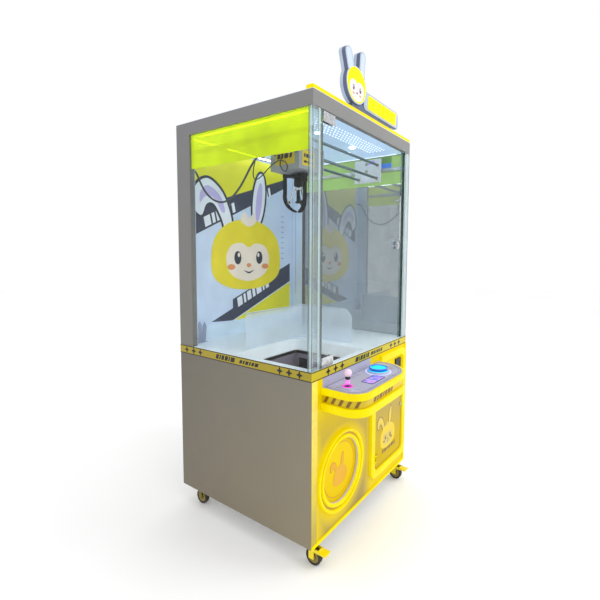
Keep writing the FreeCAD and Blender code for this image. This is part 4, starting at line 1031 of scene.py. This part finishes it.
def make_controls():
    """The lit start button and the stick with its ball."""
    glow = glowing("button_blue", (0.02, 0.42, 1.0, 1.0), (0.0, 0.62, 1.0, 1.0), 1.3, pitch=30.0)
    cap = [(0, 691), (20, 690.6), (34, 689), (40, 686), (43, 681), (44, 674), (44, 652), (0, 652)]
    piece("button_cap", [lathe(cap, BUTTON)], glow, body="start_button", smooth=True, bevel=0.4,
          stands_for=["start_button"])
    skirt = [(41.5, 684), (44, 680), (44, 690), (43, 691.0), (38, 691), (38, 690)]
    piece("button_ring", [lathe(skirt, BUTTON, closed=True)],
          painted("ring_blue", tone(30, 120, 235), rough=0.15, Coat_Weight=0.8),
          body="start_button", smooth=True)

    radius, height = 17.5, 729
    ball = [(0, height - radius), *arc((0, height), radius, -75, 90, 15), (0, height + radius)]
    piece("stick_ball", [lathe(ball, STICK)],
          painted("ball_pink", tone(244, 214, 240), rough=0.18, Coat_Weight=0.8),
          body="stick_lever", smooth=True, stands_for=["joystick_lever"])
    stem = [(0, 642), (4.5, 642), (4.5, 713), (0, 713)]
    hub = [(0, 644), (6, 644), (6, 656), (0, 656)]
    pin = tube([(STICK.x, STICK.y + reach, 650) for reach in (-11.5, 11.5)], 2.5)
    piece("stick_stem", [lathe(stem, STICK), lathe(hub, STICK), pin], CHROME,
          body="stick_lever", smooth=True, bevel=0.3)
    collar = [(4.6, 702), (9, 702), (11, 704), (11, 710), (8.5, 713.4), (4.6, 713.4)]
    piece("stick_collar", [lathe(collar, STICK, closed=True)], BLACK, body="stick_lever",
          smooth=True, bevel=0.3)
    light = [(17.2, 672), (22, 672), (22, 673.6), (21, 674.4), (17.2, 674.4)]
    piece("stick_light", [lathe(light, STICK, closed=True)],
          glowing("glow_magenta", (1.0, 0.10, 0.55, 1.0), (0.8, 0.0, 0.7, 1.0), 1.0, pitch=90.0),
          smooth=True, bevel=0.3)
    boot = [(4.6, 680), (10.5, 685), (9.5, 691), (8.5, 698), (4.6, 699)]
    piece("stick_boot", [lathe(boot, STICK, closed=True)],
          glowing("boot_pink", (1.0, 0.34, 0.80, 1.0), (0.92, 0.22, 0.85, 1.0), 0.7, pitch=90.0),
          body="stick_lever", smooth=True)


# ---------------------------------------------------------------- front doors

def make_prize_door():
    """The inside of the prize door's collar, the floor of its groove and the flap's print."""
    # The groove's floor is painted darker amber: painted shade in the recess.
    piece("bezel_groove", [washer(158.4, 167.6, 3.0, 3.3, PRIZE_DOOR, "y")], GROOVE_SHADE)
    piece("collar_liner", [washer(140.4, 141.2, -5.6, 5, PRIZE_DOOR, "y", 96)],
          painted("liner_grey", tone(214, 208, 226), rough=0.35), smooth=True, bevel=0.2)
    head = sized(rabbit(), 226, 214, 42)
    lines = [(outline, 0) for outline, part in head if part == LINE]
    patches = [(outline, 1) for outline, part in head if part in (FUR, EAR, FACE)]
    shells = [(*washer(120, 123, -9.3, -8.7, PRIZE_DOOR, "y", 96), 0)]
    shells += layered(lines, "xz", 9, -0.1) + layered(patches, "xz", 8.4, -0.1)
    inks = [printed("flap_ink", tone(206, 132, 10)), printed("flap_gold", tone(226, 168, 8))]
    piece("flap_picture", shells, inks, body="prize_flap")


def make_cash_door():
    """The print of the cash door, a border, a rabbit and a line of bars, and its lock's rim."""
    front, ink = -8, 0.3
    inks = [printed("door_line", tone(120, 96, 40)), printed("door_fur", tone(232, 200, 10)),
            printed("door_white", tone(214, 190, 90))]
    number = {LINE: 0, FUR: 1, EAR: 2, PINK: 1, FACE: 2, BLUSH: 0}
    figure = [(outline, number[part]) for outline, part in sized(rabbit(), 668, 238, 64)]
    shells = [(*border(524, 831, 106, 535, 24, 3, "xz", front - ink, front), 0)]
    shells += layered(figure, "xz", front, -0.12)
    shells += prisms(bars(604, 156, 20, 7, (16, 26, 12, 20, 30, 14), 6), "xz", front - ink, front)
    piece("cash_door_picture", shells, inks, body="cash_door")
    rim = [(5.5, 13.0), (8.5, 13.0), (9.5, 12.2), (5.5, 12.2)]
    piece("cash_lock_rim", [lathe(rim, CASH_LOCK, "y", closed=True)], ZINC, body="cash_lock",
          smooth=True)


# ---------------------------------------------------------------- roof and topper

def make_lamps():
    """The ceiling's lining with a painted blue glow, its grid of diodes, the strips along its edges
    and four spots.
    """
    lining = Paint("ceiling_painted_glow")
    lining.colour(tone(190, 214, 244), tone(172, 200, 236), 2.0)
    # Painted light: the lining glows blue as if lit from below by the diodes, though it is no lamp.
    lining.shine(lining.mix(lining.noise(1.5), (0.42, 0.62, 0.95, 1.0), (0.62, 0.78, 1.0, 1.0)), 0.42)
    lining.gloss(0.35, 0.5)
    lining.relief(lining.noise(420.0, 2.0), 0.2)
    piece("ceiling_lining", [box(30, 860, 24, 748, CEILING - 0.3, CEILING - 0.05)],
          lining.material)
    low, high = CEILING - 4, CEILING - 0.4
    hidden = [box(60, 830, 790, 798, low, high), box(40, 48, 60, 730, low, high)]
    piece("roof_lamps", hidden, LED, bevel=1)
    cool, blue = (0.86, 0.94, 1.0, 1.0), (0.75, 0.86, 1.0, 1.0)
    soft = glowing("soft_diodes", (0.80, 0.90, 1.0, 1.0), (0.70, 0.84, 1.0, 1.0), 1.1, pitch=90.0)
    piece("side_lamps", [box(846, 850, 60, 730, low, high)], soft, bevel=1)
    diode = [(0, high - 2), (2.4, high - 1.6), (3.2, high), (0, high)]
    rows = [lathe(diode, (90 + 24 * column, 84 + 22 * row, 0), steps=10)
            for column in range(28) for row in range(5)]
    piece("roof_diodes", rows, glowing("diode_white", cool, blue, 2.2, pitch=90.0), smooth=True)
    spots = [lathe([(0, high - 4.6), (14, high - 4.6), (18, high), (0, high)], (x, y, 0))
             for x, y in ((300, 200), (600, 200), (300, 560), (600, 560))]
    piece("roof_spots", spots, LED, smooth=True, bevel=0.5)


def make_topper():
    """The sign on the roof: a rabbit's head, and a board with raised bars, on a dark body."""
    head = round_box(246, 412, 1883, 2041, 78, 16)
    ears = [turned(round_box(x - half, x + half, z - 40, z + length, half - 1), (x, z), lean)
            for x, z, half, length, lean in ((283, 2020, 27, 86, 20), (373, 2025, 23, 98, -5))]
    rounds = [head, *ears]
    board = round_box(400, 764, 1880, 1966, 22)
    foot = [(290, ROOF), (700, ROOF), (676, ROOF + 60), (314, ROOF + 60)]
    body = prisms(rounds, "xz", 12, 30) + [prism(board, "xz", 17, 28), prism(foot, "xz", 18, 40)]
    piece("topper_body", body, painted("topper_slate", tone(92, 100, 128), rough=0.4), bevel=1.0,
          stands_for=["topper_sign"])
    rim = prisms(rounds, "xz", 30, 46) + [prism(board, "xz", 28, 42)]
    rim += prisms([offset(shape, 0.1) for shape in rounds], "xz", 10, 12)
    rim.append(prism(offset(board, 3), "xz", 15, 17))
    frost = glowing("topper_white", (0.66, 0.74, 0.86, 1.0), (0.55, 0.66, 0.82, 1.0), 0.25)
    piece("topper_rim", rim, frost, bevel=0.5)
    inks = [printed("topper_line", tone(90, 80, 96)), glowing("topper_yellow", YELLOW, AMBER, 0.9)]
    inks += [printed(f"topper_{name}", tone(*colour), glow) for name, colour, glow in (
        ("ear", (214, 226, 244), 0.2), ("lilac", (190, 204, 232), 0.1),
        ("face", (240, 214, 214), 0.2), ("blush", (240, 160, 120), 0.2))]
    face = loop([(270, 1946), (284, 1974), (316, 1978), (330, 1968), (344, 1978), (376, 1974),
                 (390, 1946), (372, 1908), (330, 1894), (288, 1908)])
    layers = [(offset(ear, 7), PINK) for ear in ears] + [(offset(head, 6), FUR), (face, FACE)]
    for x in (302, 358):
        layers += [(oval(x, 1946, 8, 12), LINE), (oval(x - 2, 1950, 3, 4), EAR),
                   (oval(x, 1922, 9, 5), BLUSH)]
    layers.append((oval(330, 1928, 6, 4), LINE))
    piece("topper_face", layered(layers, "xz", 10, -0.15), inks)
    words = prisms(bars(434, 1892, 60, 11, (34, 46, 28, 40, 36, 46), 8), "xz", 8, 15)
    piece("topper_bars", words, glowing("bars_yellow", YELLOW, AMBER, 0.8), bevel=1)


# ---------------------------------------------------------------- gantry looks

def make_bridge():
    """The two trucks on their rails, the rods between them, their bolts and a small label."""
    rods_at = ((180, 1655), (300, 1655), (175, 1729))
    left, right, thick = 49, 841, 9
    foot, top, front, rear, teeth = 1630, 1766, 155, 330, 7
    plate = [(front, top), (front, foot)]
    for tooth in range(teeth):
        start = front + (rear - front) / teeth * tooth
        plate += [(start + 8, foot), (start + 12, foot + 7), (start + 20, foot + 7)]
    plate += [(rear, foot), (rear, top)]
    shells, bolts = [], []
    for near, far, shoe0, shoe1, web in ((left - thick, left, 17, 40, 34.4),
                                         (right, right + thick, 850, 873, 850)):
        shells.append(prism(plate, "yz", near, far))
        for start in (163, 292):
            for low in (1681, 1710.4):
                shells.append(box(shoe0, shoe1, start, start + 30, low, low + 8.6))
            shells.append(box(web, web + 5.6, start, start + 30, 1681, 1719))
    piece("trucks", shells, WHITE, body="bridge", bevel=1.2,
          stands_for=["bridge_frame"])
    rods = [tube([(left, y, z), (right, y, z)], 7, 24) for y, z in rods_at]
    piece("bridge_rods", rods, RODS, body="bridge", smooth=True, bevel=0.3)
    for y, z in (*rods_at, (250, 1700), (250, 1742)):
        for x, height in ((right - 0.2, -4), (left + 0.2, 4)):
            bolts.append(lathe([(0, height), (8, height), (10, 0), (0, 0)], (x, y, z), "x", 24))
    bolts.append(box(left, left + 18, 318, 334, 1632, 1666))
    piece("bridge_bolts", bolts, ZINC, body="bridge", bevel=0.5)
    piece("truck_label", [box(right - 0.8, right, 196, 236, 1738, 1758)], display_paint(),
          body="bridge")


def make_carriage_print():
    """The labels on the carriage's front and left side, and the sleeve over the claw's coil."""
    low = corners("carriage_housing")[0]
    left, front, thick = low.x + 15, low.y, 0.3
    lines = [*bars(150, 1636, 16, 5, (10, 16, 8, 14), 3), *bars(150, 1612, 10, 5, (20, 9, 26), 2)]
    shells = [(*box(140, 226, front - 0.4, front, 1600, 1668), 0),
              (*box(left - 0.4, left, 190, 300, 1606, 1664), 0)]
    shells += prisms(lines, "xz", front - 0.4 - thick, front - 0.4, 1)
    shells += prisms(bars(206, 1632, 20, 7, (14, 22, 10, 18), -4), "yz", left - 0.4 - thick,
                     left - 0.4, 1)
    piece("carriage_label", shells, [GOLD, INK], body="carriage")
    cover = [(19.1, 1527), (20, 1529), (20, 1557), (19.1, 1559)]
    piece("coil_sleeve", [lathe(cover, CLAW, closed=True)], GLOSS_BLACK, body="claw",
          smooth=True)


# ---------------------------------------------------------------- play field and floor parts

def make_field():
    """Small things round the play field: the fence's dots, the chute's window and a bracket."""
    corner, height, pitch, thick = corners("fence_panels")[1], 922, 15, 3
    rear = [oval(corner.x + 7 - pitch * index, height, 2.2, 2.2, steps=10) for index in range(1, 30)]
    side = [oval(corner.y - 13 - pitch * index, height, 2.2, 2.2, steps=10) for index in range(18)]
    dots = prisms(rear, "xz", corner.y - thick - 0.4, corner.y + 0.4)
    dots += prisms(side, "yz", corner.x - thick - 0.4, corner.x + 0.4)
    piece("fence_dots", dots, printed("dot_grey", tone(70, 76, 84)))
    piece("chute_window", [box(427.6, 428, 360, 417, 584, 652)], GLOSS_BLACK, bevel=0.1)
    wings = [[(66, 748), (96, 748), (88, 838), (76, 857), (68, 850)],
             [(98, 748), (114, 748), (122, 826), (112, 850), (100, 834)]]
    shells = [(*prism(wing, "xz", level, level + 4), 0) for wing, level in zip(wings, (792, 798))]
    shells.append((*prism([(46, 764), (62, 764), (54, 800)], "xz", 790, 791.5), 1))
    shells.append((*box(46, 120, 788, 804, BAND_TOP + 0.2, BAND_TOP + 2), 0))
    piece("folded_bracket", shells, [painted("bracket_grey", tone(150, 158, 180), rough=0.35),
                                     GLOSS_BLACK])


def make_hubs():
    """Plastic discs and caps on both sides of the four wheels."""
    # The hubs' golden tone is partly painted yellow glow from the lit strips.
    hub = painted("hub_plastic", tone(138, 122, 56), rough=0.4)
    for name in ("front_left", "front_right", "rear_left", "rear_right"):
        low, high = corners(f"wheel_{name}")
        centre = (low + high) / 2
        shells = [washer(inner, outer, start * side, end * side, centre, "x", 48)
                  for side in (-1, 1)
                  for inner, outer, start, end in ((14.5, 27.5, 9.0, 9.6), (4.6, 13.5, 12.0, 12.3))]
        piece(f"hub_{name}", shells, hub, body=f"wheel_{name}")


# ---------------------------------------------------------------- assembly

def save_sizes():
    """Gathers the CAD model's box and the finished model's box."""
    boxes = {"cad": CAD_BOX, "visual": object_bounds()}
    {name: [list(corner) for corner in box_] for name, box_ in boxes.items()}


make_camera()
make_cords()
make_stage()
dress()
make_waist_band()
make_backdrop()
make_glazing()
make_posts()
make_neon()
make_console_print()
make_controls()
make_prize_door()
make_cash_door()
make_lamps()
make_topper()
make_bridge()
make_carriage_print()
make_field()
make_hubs()
save_sizes()
